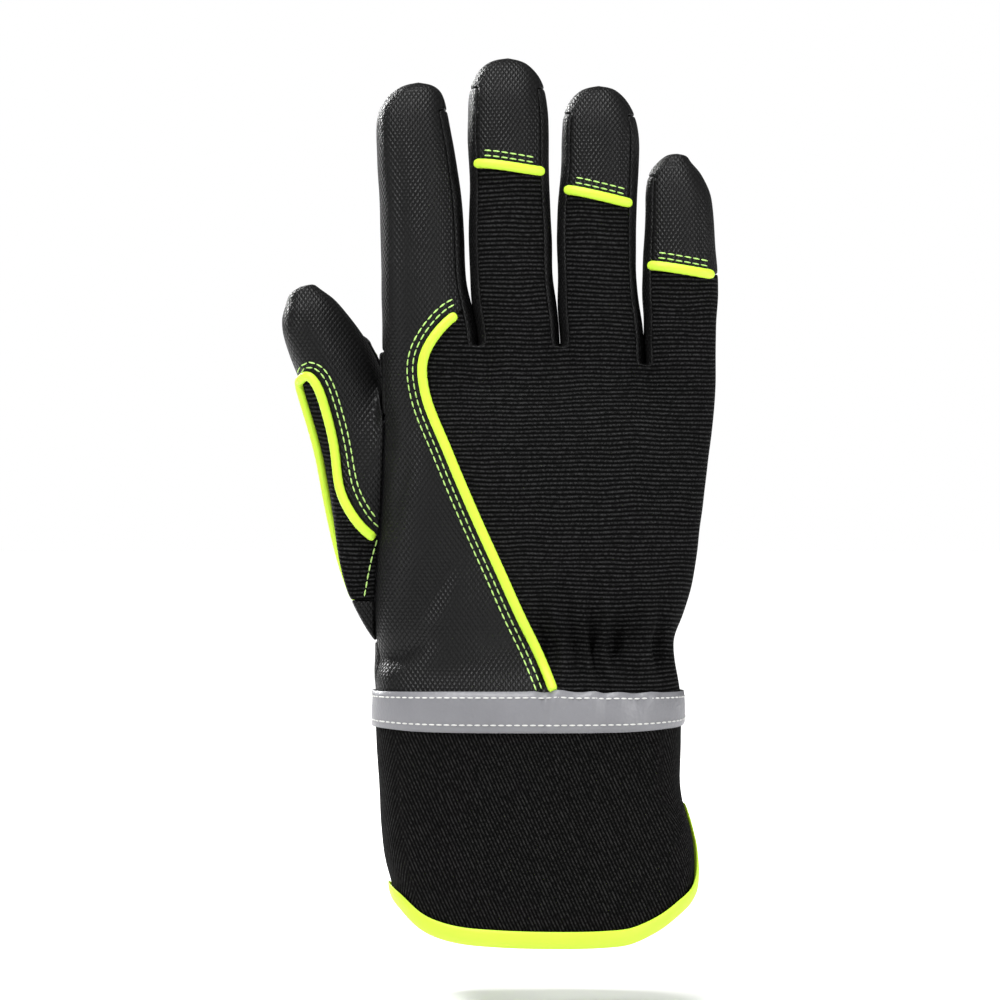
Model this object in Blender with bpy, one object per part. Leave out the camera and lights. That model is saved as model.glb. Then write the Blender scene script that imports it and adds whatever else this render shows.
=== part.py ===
"""An insulated mechanic glove for the right hand, upright on its cuff mouth.

Fingers point along +Z, the back of the hand faces -Y, the palm +Y and the thumb lies at -X.
The origin is the middle of the cuff mouth. All lengths are in metres.
"""

import math

import bmesh
import bpy
from mathutils import Vector

# Fingers, each from the crotch level to its tip, with the width it takes across the knuckles
INDEX_LENGTH = 0.0810
MIDDLE_LENGTH = 0.0885
RING_LENGTH = 0.0800
LITTLE_LENGTH = 0.0590
INDEX_WIDTH = 0.0273
MIDDLE_WIDTH = 0.0267
RING_WIDTH = 0.0260
LITTLE_WIDTH = 0.0242
FINGER_DEPTH = 0.0250
FINGER_GAP = 0.0012
FINGER_CURL = 0.0090

# Hand and thumb
PALM_LENGTH = 0.1120
PALM_DEPTH = 0.0440
THUMB_LENGTH = 0.0350
THUMB_WIDTH = 0.0248
THUMB_DEPTH = 0.0250
ELASTIC_PINCH = 0.0030
GATHER_DEPTH = 0.0008

# Cuff, with its vent at the little finger's side
CUFF_LENGTH = 0.0695
CUFF_WIDTH = 0.0930
CUFF_DEPTH = 0.0600

# Walls, trim and clearances
WALL = 0.0030
CUFF_WALL = 0.0026
PATCH_THICKNESS = 0.0012
HEEL_PAD_THICKNESS = 0.0034
HEEL_PAD_EDGE = 0.0080
BAND_HEIGHT = 0.0125
BAND_THICKNESS = 0.0008
PIPING_RADIUS = 0.0012
BINDING_THICKNESS = 0.0009
BINDING_HEIGHT = 0.0032
GAP = 0.0003
PANEL_RIM = 0.0002

# Columns round a finger's back or palm, round its side and across a web between two fingers
FACE_COLUMNS = 4
SIDE_COLUMNS = 3
WEB_COLUMNS = 1
BAND_LAP_COLUMNS = 1
NORMAL_BLEND = 2
EDGE_ANGLE = math.radians(40)

# Squareness of the fingers' and the thumb's sections, and how far a tip crowns over its last row
FINGER_SQUARENESS = 2.3
THUMB_SQUARENESS = 2.2
TIP_CROWN = 0.012
THUMB_CROWN = 0.02
# The oval hand turns into four finger roots from this share of the palm on
ROOTS_BEGIN = 0.72
ROOTS_EASE = 1.3
# The elastic draws the back in from this share of the half breadth towards the little finger
ELASTIC_START = -0.3
ELASTIC_HEIGHT = 0.19
ELASTIC_SPREAD = 0.07
# How steeply the binding may follow the hem, and how squarely a patch's fabric faces the palm
BINDING_STRETCH = 2.6
PATCH_FACING = 0.12
THUMB_PATCH_FACING = 0.2

FINGER_NAMES = ("index", "middle", "ring", "little")
FINGER_WIDTHS = (INDEX_WIDTH, MIDDLE_WIDTH, RING_WIDTH, LITTLE_WIDTH)
FINGER_LENGTHS = (INDEX_LENGTH, MIDDLE_LENGTH, RING_LENGTH, LITTLE_LENGTH)
KNUCKLE_WIDTH = sum(FINGER_WIDTHS)
THUMB_SIDE = -0.4415
THUMB_SIDE_X = THUMB_SIDE * KNUCKLE_WIDTH
CROTCH_Z = CUFF_LENGTH + PALM_LENGTH

# Lines between the fingers: height as a share of the middle finger's length over the crotch
# level, then how far each line leans across, as a share of the knuckle width
LINE_LEAN = (
    (-1.00, 0.004, 0.027, 0.0125, 0.0120, -0.0115),
    (0.00, 0.004, 0.027, 0.0125, 0.0120, -0.0115),
    (0.20, 0.000, 0.000, 0.0000, 0.0000, 0.0000),
    (0.40, -0.003, -0.009, -0.004, 0.0030, -0.0060),
    (0.60, -0.008, -0.012, -0.006, 0.0090, -0.0110),
    (0.80, -0.013, -0.014, -0.005, 0.0130, -0.0130),
    (1.00, -0.013, -0.016, -0.004, 0.0130, -0.0130),
)
# Height of each line's root, as a share of the palm's length
LINE_ROOT = (0.985, 1.0, 1.0, 0.945, 0.925)

# Each finger: height share of its length, how far its thumb side and little side draw in as
# shares of its width, and its depth share
FINGER_SHAPES = {
    "index": (
        (0.00, 0.000, 0.000, 1.04),
        (0.45, 0.000, 0.010, 1.00),
        (0.60, 0.000, 0.035, 0.97),
        (0.75, 0.000, 0.100, 0.92),
        (0.83, 0.005, 0.145, 0.86),
        (0.90, 0.040, 0.185, 0.76),
        (0.945, 0.110, 0.215, 0.64),
        (0.98, 0.215, 0.265, 0.50),
        (1.00, 0.310, 0.340, 0.36),
    ),
    "middle": (
        (0.00, 0.000, 0.000, 1.04),
        (0.35, 0.010, 0.005, 1.00),
        (0.54, 0.035, 0.020, 0.98),
        (0.75, 0.025, 0.035, 0.94),
        (0.88, 0.045, 0.065, 0.84),
        (0.94, 0.110, 0.135, 0.68),
        (0.98, 0.210, 0.240, 0.50),
        (1.00, 0.310, 0.330, 0.36),
    ),
    "ring": (
        (0.00, 0.000, 0.000, 1.04),
        (0.37, 0.000, 0.025, 1.00),
        (0.52, 0.010, 0.040, 0.97),
        (0.68, 0.050, 0.045, 0.93),
        (0.83, 0.065, 0.040, 0.86),
        (0.90, 0.090, 0.080, 0.76),
        (0.95, 0.160, 0.160, 0.62),
        (0.98, 0.240, 0.250, 0.50),
        (1.00, 0.330, 0.340, 0.36),
    ),
    "little": (
        (0.00, 0.000, 0.000, 1.02),
        (0.46, 0.000, 0.000, 0.98),
        (0.55, 0.010, 0.025, 0.95),
        (0.73, 0.035, 0.035, 0.90),
        (0.83, 0.035, 0.060, 0.82),
        (0.92, 0.080, 0.170, 0.68),
        (0.97, 0.190, 0.290, 0.46),
        (1.00, 0.290, 0.340, 0.38),
    ),
}
# Where each tip cap's seam crosses the back of its finger, as a share of the length, and how
# much the seam falls towards the little finger, as a share of the finger's width
TIP_SEAM = {
    "index": (0.60, 0.0),
    "middle": (0.615, 0.09),
    "ring": (0.585, 0.09),
    "little": (0.455, 0.08),
}
SEAM_REACH = 0.22

# Hand: height share of the palm's length, edges across as shares of the knuckle width, depths
# of the back and the palm as shares of the palm's depth, and the section's squareness
HAND_SHAPE = (
    (0.000, -0.454, 0.446, 0.640, 0.640, 2.3),
    (0.094, -0.463, 0.436, 0.560, 0.580, 2.4),
    (0.190, -0.462, 0.424, 0.520, 0.560, 2.4),
    (0.270, -0.462, 0.455, 0.500, 0.570, 2.5),
    (0.380, -0.456, 0.487, 0.480, 0.580, 2.6),
    (0.495, -0.446, 0.503, 0.460, 0.560, 2.6),
    (0.656, -0.436, 0.523, 0.430, 0.520, 2.6),
    (0.826, -0.436, 0.540, 0.380, 0.440, 2.5),
    (1.000, -0.438, 0.547, 0.320, 0.330, 2.4),
)
# Cuff: height share of its length, edges across as shares of its width, depth share, squareness
CUFF_SHAPE = (
    (0.00, -0.440, 0.515, 1.00, 2.2),
    (0.20, -0.450, 0.548, 1.00, 2.2),
    (0.35, -0.480, 0.546, 0.99, 2.2),
    (0.46, -0.490, 0.540, 0.98, 2.2),
    (0.56, -0.497, 0.515, 0.97, 2.2),
    (0.65, -0.500, 0.500, 0.96, 2.2),
    (0.82, -0.505, 0.500, 0.95, 2.2),
    (1.00, -0.508, 0.499, 0.94, 2.3),
)
# Hem: direction round the cuff in degrees from the little finger's side over the palm, and the
# hem's height as a share of the cuff's length
HEM_LINE = (
    (-180, 0.190),
    (-160, 0.140),
    (-140, 0.050),
    (-115, 0.005),
    (-60, 0.000),
    (-42, 0.050),
    (-28, 0.115),
    (-12, 0.190),
    (-3, 0.280),
    (8, 0.490),
    (28, 0.480),
    (40, 0.250),
    (52, 0.110),
    (70, 0.040),
    (90, 0.015),
    (120, 0.050),
    (160, 0.140),
    (180, 0.190),
)
# Thumb, from where it leaves the hand: length share, sideways shift and width as shares of its
# width, and depth share
THUMB_SHAPE = (
    (0.00, 0.00, 1.00, 1.00),
    (0.25, 0.00, 0.98, 0.97),
    (0.45, -0.03, 0.95, 0.93),
    (0.64, -0.06, 0.86, 0.86),
    (0.80, -0.07, 0.70, 0.72),
    (0.92, -0.06, 0.47, 0.50),
    (1.00, -0.05, 0.32, 0.34),
)
THUMB_LEAN = math.radians(21)
# How the leather leaves the palm for the thumb: outward flare, lift on the palm side and rise,
# and how far the palm's and the thumb's directions carry into the bend, as shares of its span
THUMB_FLARE = 0.16
THUMB_LIFT = 0.55
THUMB_RISE = (-0.44, 0.0, 0.76)
PALM_CARRY = 0.38
THUMB_CARRY = 0.36
# Middle of the thumb where it leaves the hand: shares of the knuckle width, palm depth, length
THUMB_ROOT = (-0.549, 0.30, 0.875)
# Seam of the thumb in the palm, from the thumb crotch round to the cuff side: shares of the
# knuckle width across and of the palm's length up
THUMB_SEAM = (
    (-0.405, 0.862),
    (-0.330, 0.765),
    (-0.278, 0.678),
    (-0.207, 0.589),
    (-0.162, 0.513),
    (-0.152, 0.433),
    (-0.155, 0.353),
    (-0.182, 0.272),
    (-0.230, 0.212),
    (-0.280, 0.183),
    (-0.345, 0.165),
    (-0.420, 0.175),
)
# Rolled piping over the back, from the index crotch to the band
BACK_LINE = (
    (-0.183, 1.085),
    (-0.204, 1.093),
    (-0.233, 1.073),
    (-0.263, 1.046),
    (-0.304, 0.988),
    (-0.317, 0.941),
    (-0.313, 0.900),
    (-0.300, 0.839),
    (-0.249, 0.729),
    (-0.207, 0.633),
    (-0.142, 0.493),
    (-0.088, 0.383),
    (-0.036, 0.273),
    (0.021, 0.163),
    (0.068, 0.054),
    (0.095, -0.020),
)
# Knit insert in the thumb's back: its inner line, from the apex down to the hand's edge
THUMB_INSERT = (
    (-0.720, 0.860),
    (-0.680, 0.905),
    (-0.648, 0.922),
    (-0.621, 0.888),
    (-0.594, 0.804),
    (-0.570, 0.716),
    (-0.556, 0.625),
    (-0.523, 0.551),
    (-0.470, 0.485),
    (-0.400, 0.455),
)
THUMB_INSERT_FOOT = 0.300
SADDLE_OUTLINE = (
    (-0.560, 1.060),
    (-0.405, 1.058),
    (-0.387, 1.145),
    (-0.348, 1.208),
    (-0.298, 1.230),
    (-0.246, 1.218),
    (-0.210, 1.194),
    (-0.190, 1.140),
    (-0.204, 1.085),
    (-0.216, 1.028),
    (-0.196, 0.992),
    (-0.150, 0.993),
    (-0.110, 1.008),
    (-0.044, 1.050),
    (-0.012, 1.045),
    (0.012, 1.016),
    (0.036, 0.982),
    (0.071, 0.972),
    (0.131, 0.990),
    (0.200, 1.004),
    (0.263, 0.995),
    (0.304, 0.922),
    (0.343, 0.870),
    (0.435, 0.839),
    (0.640, 0.775),
    (0.640, 0.605),
    (0.547, 0.630),
    (0.345, 0.692),
    (0.112, 0.757),
    (-0.077, 0.800),
    (-0.219, 0.812),
    (-0.290, 0.830),
    (-0.330, 0.858),
    (-0.420, 0.905),
    (-0.560, 0.960),
)
HEEL_OUTLINE = (
    (-0.246, 0.700),
    (-0.219, 0.735),
    (-0.095, 0.741),
    (0.065, 0.710),
    (0.254, 0.658),
    (0.384, 0.592),
    (0.455, 0.553),
    (0.482, 0.485),
    (0.470, 0.362),
    (0.445, 0.245),
    (0.405, 0.141),
    (0.345, 0.097),
    (0.233, 0.075),
    (0.112, 0.075),
    (-0.012, 0.105),
    (-0.071, 0.141),
    (-0.095, 0.221),
    (-0.112, 0.308),
    (-0.122, 0.421),
    (-0.132, 0.502),
    (-0.160, 0.571),
)
# Patch on the thumb's palm side, from the thumb's root: shares of its width across, length up
THUMB_PATCH = (
    (-0.07, 0.56),
    (-0.30, 0.30),
    (-0.375, 0.10),
    (-0.25, -0.25),
    (-0.065, -0.70),
    (0.08, -0.91),
    (0.21, -0.98),
    (0.34, -0.91),
    (0.51, -0.57),
    (0.66, -0.09),
    (0.60, 0.16),
    (0.26, 0.46),
)

# Rows of the mesh, as shares of each length
CUFF_ROWS = (0.0, 0.30, 0.60, 1 - BAND_HEIGHT / (2 * CUFF_LENGTH), 1.0)
ROWS_OVER_BAND = (0.12, 0.19, 0.26, 0.34, 0.42, 0.50, 0.58, 0.66, 0.74, 0.82, 0.90, 0.95, 1.0)
HAND_ROWS = (BAND_HEIGHT / (2 * PALM_LENGTH), *ROWS_OVER_BAND)
THUMB_HOLE_ROWS = (0.19, 0.82)
ROOT_ROWS = 6
THUMB_ROWS = (0.25, 0.50, 0.74, 0.90, 1.0)
TIP_ROWS = (0.80, 0.90, 0.96, 1.0)
ROWS_BELOW_SEAM = 4
KNIT_ROWS_ON_INDEX = 2

PANELS = (
    "cuff",
    "palm_panel",
    "back_panel",
    "index_panel",
    "middle_tip",
    "ring_tip",
    "little_tip",
    "fourchette_index_middle",
    "fourchette_middle_ring",
    "fourchette_ring_little",
    "thumb_shell",
    "thumb_knit",
)
CUFF, PALM, BACK, INDEX, MIDDLE_TIP, RING_TIP, LITTLE_TIP = range(7)
FIRST_FOURCHETTE = 7
THUMB, THUMB_KNIT = 10, 11

LOOKS = {
    "leather": ((0.018, 0.018, 0.019), 0.45),
    "knit": ((0.010, 0.010, 0.011), 0.9),
    "twill": ((0.012, 0.012, 0.013), 0.85),
    "piping": ((0.72, 0.98, 0.05), 0.5),
    "tape": ((0.22, 0.22, 0.24), 0.4),
}
FABRIC_OF = {"cuff": "twill", "back_panel": "knit", "thumb_knit": "knit"}


def smooth_step(low, high, value):
    share = min(max((value - low) / (high - low), 0.0), 1.0)
    return share * share * (3 - 2 * share)


def read_table(rows, at, column):
    """One column of a table at a share, drawn smoothly between its rows."""
    if at <= rows[0][0]:
        return rows[0][column]
    for k in range(len(rows) - 1):
        if at <= rows[k + 1][0]:
            before = rows[max(k - 1, 0)]
            after = rows[min(k + 2, len(rows) - 1)]
            start, end = rows[k], rows[k + 1]
            span = end[0] - start[0]
            share = (at - start[0]) / span
            slope_in = (end[column] - before[column]) / max(end[0] - before[0], 1e-9) * span
            slope_out = (after[column] - start[column]) / max(after[0] - start[0], 1e-9) * span
            square, cube = share * share, share * share * share
            return (
                (2 * cube - 3 * square + 1) * start[column]
                + (cube - 2 * square + share) * slope_in
                + (3 * square - 2 * cube) * end[column]
                + (cube - square) * slope_out
            )
    return rows[-1][column]


def smooth_line(points, steps, closed=False):
    """A smooth curve through a few points, as a list of 2-D points."""
    count = len(points)
    spans = count if closed else count - 1
    line = []
    for k in range(spans):
        picks = [k - 1, k, k + 1, k + 2]
        picks = [p % count if closed else min(max(p, 0), count - 1) for p in picks]
        a, b, c, d = (Vector(points[p]) for p in picks)
        for step in range(steps):
            t = step / steps
            line.append(
                0.5 * (2 * b + (c - a) * t + (2 * a - 5 * b + 4 * c - d) * t * t
                       + (3 * b - a - 3 * c + d) * t * t * t)
            )
    if not closed:
        line.append(Vector(points[-1]))
    return line


def squared(angle, power):
    """A point of a unit superellipse."""
    c, s = math.cos(angle), math.sin(angle)
    return math.copysign(abs(c) ** (2 / power), c), math.copysign(abs(s) ** (2 / power), s)


def line_x(line, z):
    """Where one of the lines between the fingers stands at a height."""
    share = (z - CROTCH_Z) / MIDDLE_LENGTH
    base = THUMB_SIDE_X + sum(FINGER_WIDTHS[:line])
    return base + read_table(LINE_LEAN, share, line + 1) * KNUCKLE_WIDTH


def finger_point(finger, angle, share):
    """A point on a finger: angle round it from the little side over the palm, share of its length."""
    name = FINGER_NAMES[finger]
    cross = (math.cos(angle) + 1) / 2
    root = LINE_ROOT[finger] + (LINE_ROOT[finger + 1] - LINE_ROOT[finger]) * cross
    root_z = CUFF_LENGTH + PALM_LENGTH * root
    tip_z = CROTCH_Z + FINGER_LENGTHS[finger]
    z = root_z + (tip_z - root_z) * share
    seam, fall = TIP_SEAM[name]
    width = FINGER_WIDTHS[finger]
    near_seam = 1 - smooth_step(0.0, SEAM_REACH, abs(share - seam))
    if math.sin(angle) < 0:
        z -= fall * width * math.cos(angle) * near_seam * -math.sin(angle)
    rows = FINGER_SHAPES[name]
    gap_left = FINGER_GAP / 2 if finger > 0 else 0.0
    gap_right = FINGER_GAP / 2 if finger < 3 else 0.0
    left = line_x(finger, z) + gap_left + read_table(rows, share, 1) * width
    right = line_x(finger + 1, z) - gap_right - read_table(rows, share, 2) * width
    across, deep = squared(angle, FINGER_SQUARENESS)
    depth = read_table(rows, share, 3) * FINGER_DEPTH / 2
    x = (left + right) / 2 + (right - left) / 2 * across
    y = FINGER_CURL * share * share + depth * deep
    return Vector((x, y, z))


def hand_section(z):
    """Edges, depths and squareness of the hand or the cuff at a height."""
    if z >= CUFF_LENGTH:
        share = (z - CUFF_LENGTH) / PALM_LENGTH
        left, right, back, palm, power = (read_table(HAND_SHAPE, share, c) for c in range(1, 6))
        seam = 1 - smooth_step(0.0, 0.12, share)
        left, right = left * KNUCKLE_WIDTH, right * KNUCKLE_WIDTH
        cuff_left, cuff_right, depth, _ = (CUFF_SHAPE[-1][c] for c in range(1, 5))
        left += (cuff_left * CUFF_WIDTH - left) * seam
        right += (cuff_right * CUFF_WIDTH - right) * seam
        back, palm = back * PALM_DEPTH, palm * PALM_DEPTH
        back += (depth * CUFF_DEPTH / 2 - back) * seam
        palm += (depth * CUFF_DEPTH / 2 - palm) * seam
        return left, right, back, palm, power
    share = z / CUFF_LENGTH
    left, right, depth, power = (read_table(CUFF_SHAPE, share, c) for c in range(1, 5))
    depth *= CUFF_DEPTH / 2
    return left * CUFF_WIDTH, right * CUFF_WIDTH, depth, depth, power


def pinch(z):
    """How hard the elastic draws the back in at a height, from 0 to 1."""
    return math.exp(-(((z - CUFF_LENGTH) / PALM_LENGTH - ELASTIC_HEIGHT) / ELASTIC_SPREAD) ** 2)


def hand_point(angle, z, column=0):
    """A point on the hand or cuff: angle from the little side over the palm."""
    left, right, back, palm, power = hand_section(z)
    across, deep = squared(angle, power)
    x = (left + right) / 2 + (right - left) / 2 * across
    y = deep * (palm if deep > 0 else back)
    if deep < 0 and across > ELASTIC_START:
        y -= pinch(z) * deep * ELASTIC_PINCH * min(1.0, (across - ELASTIC_START) * 3)
        if column % 2:
            y -= pinch(z) * GATHER_DEPTH
    return Vector((x, y, z))


def palm_depth_at(x, z):
    """How far the palm's surface stands out at a point across and up."""
    left, right, _, palm, power = hand_section(z)
    across = min(abs((x - (left + right) / 2) / ((right - left) / 2)), 1.0)
    return palm * (1 - across**power) ** (1 / power)


def extrude_ring(bm, ring, closed=True):
    """Extrudes a chain of vertices by one row and returns the new chain in the same order."""
    pairs = list(zip(ring, ring[1:] + ring[:1] if closed else ring[1:]))
    edges = [bm.edges.get(pair) for pair in pairs]
    made = bmesh.ops.extrude_edge_only(bm, edges=edges)["geom"]
    new = {item for item in made if isinstance(item, bmesh.types.BMVert)}
    return [next(e.other_vert(v) for e in v.link_edges if e.other_vert(v) in new) for v in ring]


def between(count, start, end):
    return [start + (end - start) * k / count for k in range(count)]


def ring_columns():
    """Columns round the hand in order: back from the thumb side, little side, palm, thumb side.

    Each holds its finger, its angle round that finger and, in a web, its share of the way over.
    """
    edge = EDGE_ANGLE
    columns = []
    for finger in range(4):
        for angle in between(FACE_COLUMNS, -math.pi + edge, -edge) + [-edge]:
            columns.append((finger, angle, 0.0))
        if finger < 3:
            columns += [(finger, -edge, k / WEB_COLUMNS) for k in range(1, WEB_COLUMNS)]
    columns += [(3, angle, 0.0) for angle in between(SIDE_COLUMNS, -edge, edge)[1:]]
    for finger in (3, 2, 1, 0):
        for angle in between(FACE_COLUMNS, edge, math.pi - edge) + [math.pi - edge]:
            columns.append((finger, angle, 0.0))
        if finger > 0:
            columns += [(finger, math.pi - edge, k / WEB_COLUMNS) for k in range(1, WEB_COLUMNS)]
    columns += [(0, angle, 0.0) for angle in between(SIDE_COLUMNS, math.pi - edge, math.pi + edge)[1:]]
    return columns


def crotch_point(column):
    finger, angle, share = column
    here = finger_point(finger, angle, 0.0)
    if share == 0.0:
        return here
    step = 1 if angle < 0 else -1
    there = finger_point(finger + step, -math.pi - angle if angle < 0 else math.pi - angle, 0.0)
    return here.lerp(there, share)


def section_angle(point, power):
    """The superellipse angle whose column passes through a point at the crotch level."""
    left, right, _, _, _ = hand_section(CROTCH_Z)
    across = (point.x - (left + right) / 2) / ((right - left) / 2)
    across = min(max(across, -0.97), 0.97)
    angle = math.acos(math.copysign(abs(across) ** (power / 2), across))
    return angle if point.y > 0 else -angle


def column_angles(columns):
    """One angle for each column all the way down the hand, spread evenly round the two sides."""
    angles = [section_angle(crotch_point(column), 2.5) for column in columns]
    back = 4 * FACE_COLUMNS + 3 * WEB_COLUMNS
    little_palm = back + SIDE_COLUMNS
    thumb_palm = little_palm + back
    for k in range(1, SIDE_COLUMNS):
        share = k / SIDE_COLUMNS
        angles[back + k] = angles[back] + (angles[little_palm] - angles[back]) * share
        start, end = angles[thumb_palm], angles[0] + 2 * math.pi
        angles[thumb_palm + k] = start + (end - start) * share
    return angles


def hem_height(angle):
    turn = math.degrees(angle)
    turn = turn - 360 if turn > 180 else turn
    return read_table(HEM_LINE, turn, 1) * CUFF_LENGTH


class Shell:
    """The glove's outer skin, its vertex rows and the panel that each face belongs to."""

    def __init__(self):
        self.bm = bmesh.new()
        self.columns = ring_columns()
        self.angles = column_angles(self.columns)
        self.panel = self.bm.faces.layers.int.new("panel")
        self.column = self.bm.faces.layers.int.new("column")
        self.picked = self.bm.faces.layers.int.new("picked")
        self.out = self.bm.verts.layers.float_vector.new("out")
        self.rows = []
        self.build_hand()
        self.build_webs()
        self.build_fingers()
        self.build_thumb()

    def label(self, rows, panels):
        """Names the new faces between two rows by the column that they stand in."""
        for k, panel in enumerate(panels):
            face = self.face_of(rows[0], rows[1], k)
            face[self.panel] = panel
            face[self.column] = k

    def face_of(self, low, high, k):
        following = (k + 1) % len(low)
        edge = self.bm.edges.get((low[k], low[following]))
        return next(f for f in edge.link_faces if high[k] in f.verts)

    def build_hand(self):
        bm = self.bm
        made = bmesh.ops.create_circle(bm, cap_ends=False, segments=len(self.columns), radius=1.0)
        ring = made["verts"]
        for v, angle, k in zip(ring, self.angles, range(len(ring))):
            v.co = hand_point(angle, hem_height(angle), k)
        self.rows.append(ring)
        bound = [v.co.z + rise for v, rise in zip(ring, self.binding_rise(ring))]
        for share in CUFF_ROWS:
            ring = extrude_ring(bm, ring)
            for k, (v, angle) in enumerate(zip(ring, self.angles)):
                v.co = hand_point(angle, bound[k] + (CUFF_LENGTH - bound[k]) * share, k)
            self.label((self.rows[-1], ring), [CUFF] * len(ring))
            self.rows.append(ring)
        back = 4 * FACE_COLUMNS + 3 * WEB_COLUMNS
        palm_end = 2 * back + SIDE_COLUMNS
        panels = [BACK] * (back + SIDE_COLUMNS) + [PALM] * back + [PALM] * (SIDE_COLUMNS - 1) + [BACK]
        for share in HAND_ROWS:
            ring = extrude_ring(bm, ring)
            for k, (v, angle) in enumerate(zip(ring, self.angles)):
                crotch = crotch_point(self.columns[k])
                z = CUFF_LENGTH + (crotch.z - CUFF_LENGTH) * share
                oval = hand_point(angle, z, k)
                crotch.z = z
                v.co = oval.lerp(crotch, smooth_step(ROOTS_BEGIN, 1.0, share) ** ROOTS_EASE)
            self.label((self.rows[-1], ring), panels)
            self.rows.append(ring)
        self.back_columns = back
        self.palm_end = palm_end

    def binding_rise(self, ring):
        """How far the binding reaches up from each point of the hem, square to the hem."""
        rises = []
        for k, v in enumerate(ring):
            before, after = ring[k - 1].co, ring[(k + 1) % len(ring)].co
            slope = abs(after.z - before.z) / math.hypot(after.x - before.x, after.y - before.y)
            rises.append(BINDING_HEIGHT * min(math.hypot(1, slope), BINDING_STRETCH))
        return rises

    def build_webs(self):
        """Folds the crotch over from the back to the palm between each two fingers."""
        bm, top = self.bm, self.rows[-1]
        step = FACE_COLUMNS + WEB_COLUMNS
        self.web_sides = {}
        for web in range(3):
            first = web * step + FACE_COLUMNS
            start = top[first:first + WEB_COLUMNS + 1]
            palm = self.back_columns + SIDE_COLUMNS + (3 - web) * step - WEB_COLUMNS
            end = [top[palm + WEB_COLUMNS - k] for k in range(WEB_COLUMNS + 1)]
            right, left = [start[0]], [start[-1]]
            chain = start
            for k in range(1, SIDE_COLUMNS + 1):
                fresh = extrude_ring(bm, chain, closed=False)
                turn = EDGE_ANGLE * (2 * k / SIDE_COLUMNS - 1)
                a = finger_point(web, turn, 0.0)
                b = finger_point(web + 1, math.pi - turn, 0.0)
                for j, v in enumerate(fresh):
                    v.co = a.lerp(b, j / WEB_COLUMNS)
                for j in range(WEB_COLUMNS):
                    edge = bm.edges.get((fresh[j], fresh[j + 1]))
                    edge.link_faces[0][self.panel] = FIRST_FOURCHETTE + web
                if k == SIDE_COLUMNS:
                    bmesh.ops.weld_verts(bm, targetmap=dict(zip(fresh, end)))
                    fresh = end
                chain = fresh
                right.append(fresh[0])
                left.append(fresh[-1])
            self.web_sides[web] = (right, left)

    def finger_loop(self, finger):
        """The finger's root, from its back over the little side and the palm to the thumb side."""
        top, step = self.rows[-1], FACE_COLUMNS + WEB_COLUMNS
        back = top[finger * step:finger * step + FACE_COLUMNS + 1]
        first_palm = self.back_columns + SIDE_COLUMNS + (3 - finger) * step
        palm = top[first_palm:first_palm + FACE_COLUMNS + 1]
        if finger < 3:
            right = self.web_sides[finger][0]
        else:
            right = top[self.back_columns:self.back_columns + SIDE_COLUMNS + 1]
        if finger > 0:
            left = self.web_sides[finger - 1][1][::-1]
        else:
            left = top[self.palm_end:] + top[:1]
        return back[:-1] + right[:-1] + palm[:-1] + left[:-1]

    def build_fingers(self):
        edge, bm = EDGE_ANGLE, self.bm
        angles = (
            between(FACE_COLUMNS, -math.pi + edge, -edge)
            + between(SIDE_COLUMNS, -edge, edge)
            + between(FACE_COLUMNS, edge, math.pi - edge)
            + between(SIDE_COLUMNS, math.pi - edge, math.pi + edge)
        )
        self.seam_rows = {}
        for finger, name in enumerate(FINGER_NAMES):
            seam = TIP_SEAM[name][0]
            above = [seam + (TIP_ROWS[0] - seam) * k / 2 for k in (1, 2)]
            shares = [seam * (k + 1) / ROWS_BELOW_SEAM for k in range(ROWS_BELOW_SEAM)]
            shares += above + list(TIP_ROWS[1:])
            ring = self.finger_loop(finger)
            for share in shares:
                fresh = extrude_ring(bm, ring)
                for v, angle in zip(fresh, angles):
                    v.co = finger_point(finger, angle, share)
                self.label((ring, fresh), self.finger_panels(finger, share, seam))
                ring = fresh
            made = bmesh.ops.contextual_create(bm, geom=[bm.edges.get(p) for p in zip(ring, ring[1:] + ring[:1])])
            cap = made["faces"][0]
            fan = bmesh.ops.poke(bm, faces=[cap])["faces"]
            centre = max(fan[0].verts, key=lambda v: len(v.link_edges))
            centre.co.z = max(v.co.z for v in ring) + TIP_CROWN * FINGER_LENGTHS[finger]
            for face in fan:
                pair = [v for v in face.verts if v is not centre]
                ks = sorted(ring.index(v) for v in pair)
                k = ks[1] if ks == [0, len(ring) - 1] else ks[0]
                face[self.panel] = self.finger_panels(finger, 1.0, seam)[k]

    def finger_panels(self, finger, share, seam):
        """Panels round one row of a finger, in the order of its columns."""
        above = share > seam + 1e-6
        capped = share > TIP_ROWS[1] + 1e-6
        above = above if finger > 0 else share > (KNIT_ROWS_ON_INDEX + 0.5) * seam / ROWS_BELOW_SEAM
        back = (INDEX, MIDDLE_TIP, RING_TIP, LITTLE_TIP)[finger] if above else BACK
        right = FIRST_FOURCHETTE + finger if finger < 3 and not capped else back
        left = FIRST_FOURCHETTE + finger - 1 if finger > 0 and not capped else back
        right_side = [back] + [right] * (SIDE_COLUMNS - 1)
        return [back] * FACE_COLUMNS + right_side + [PALM] * FACE_COLUMNS + [left] * SIDE_COLUMNS

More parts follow.
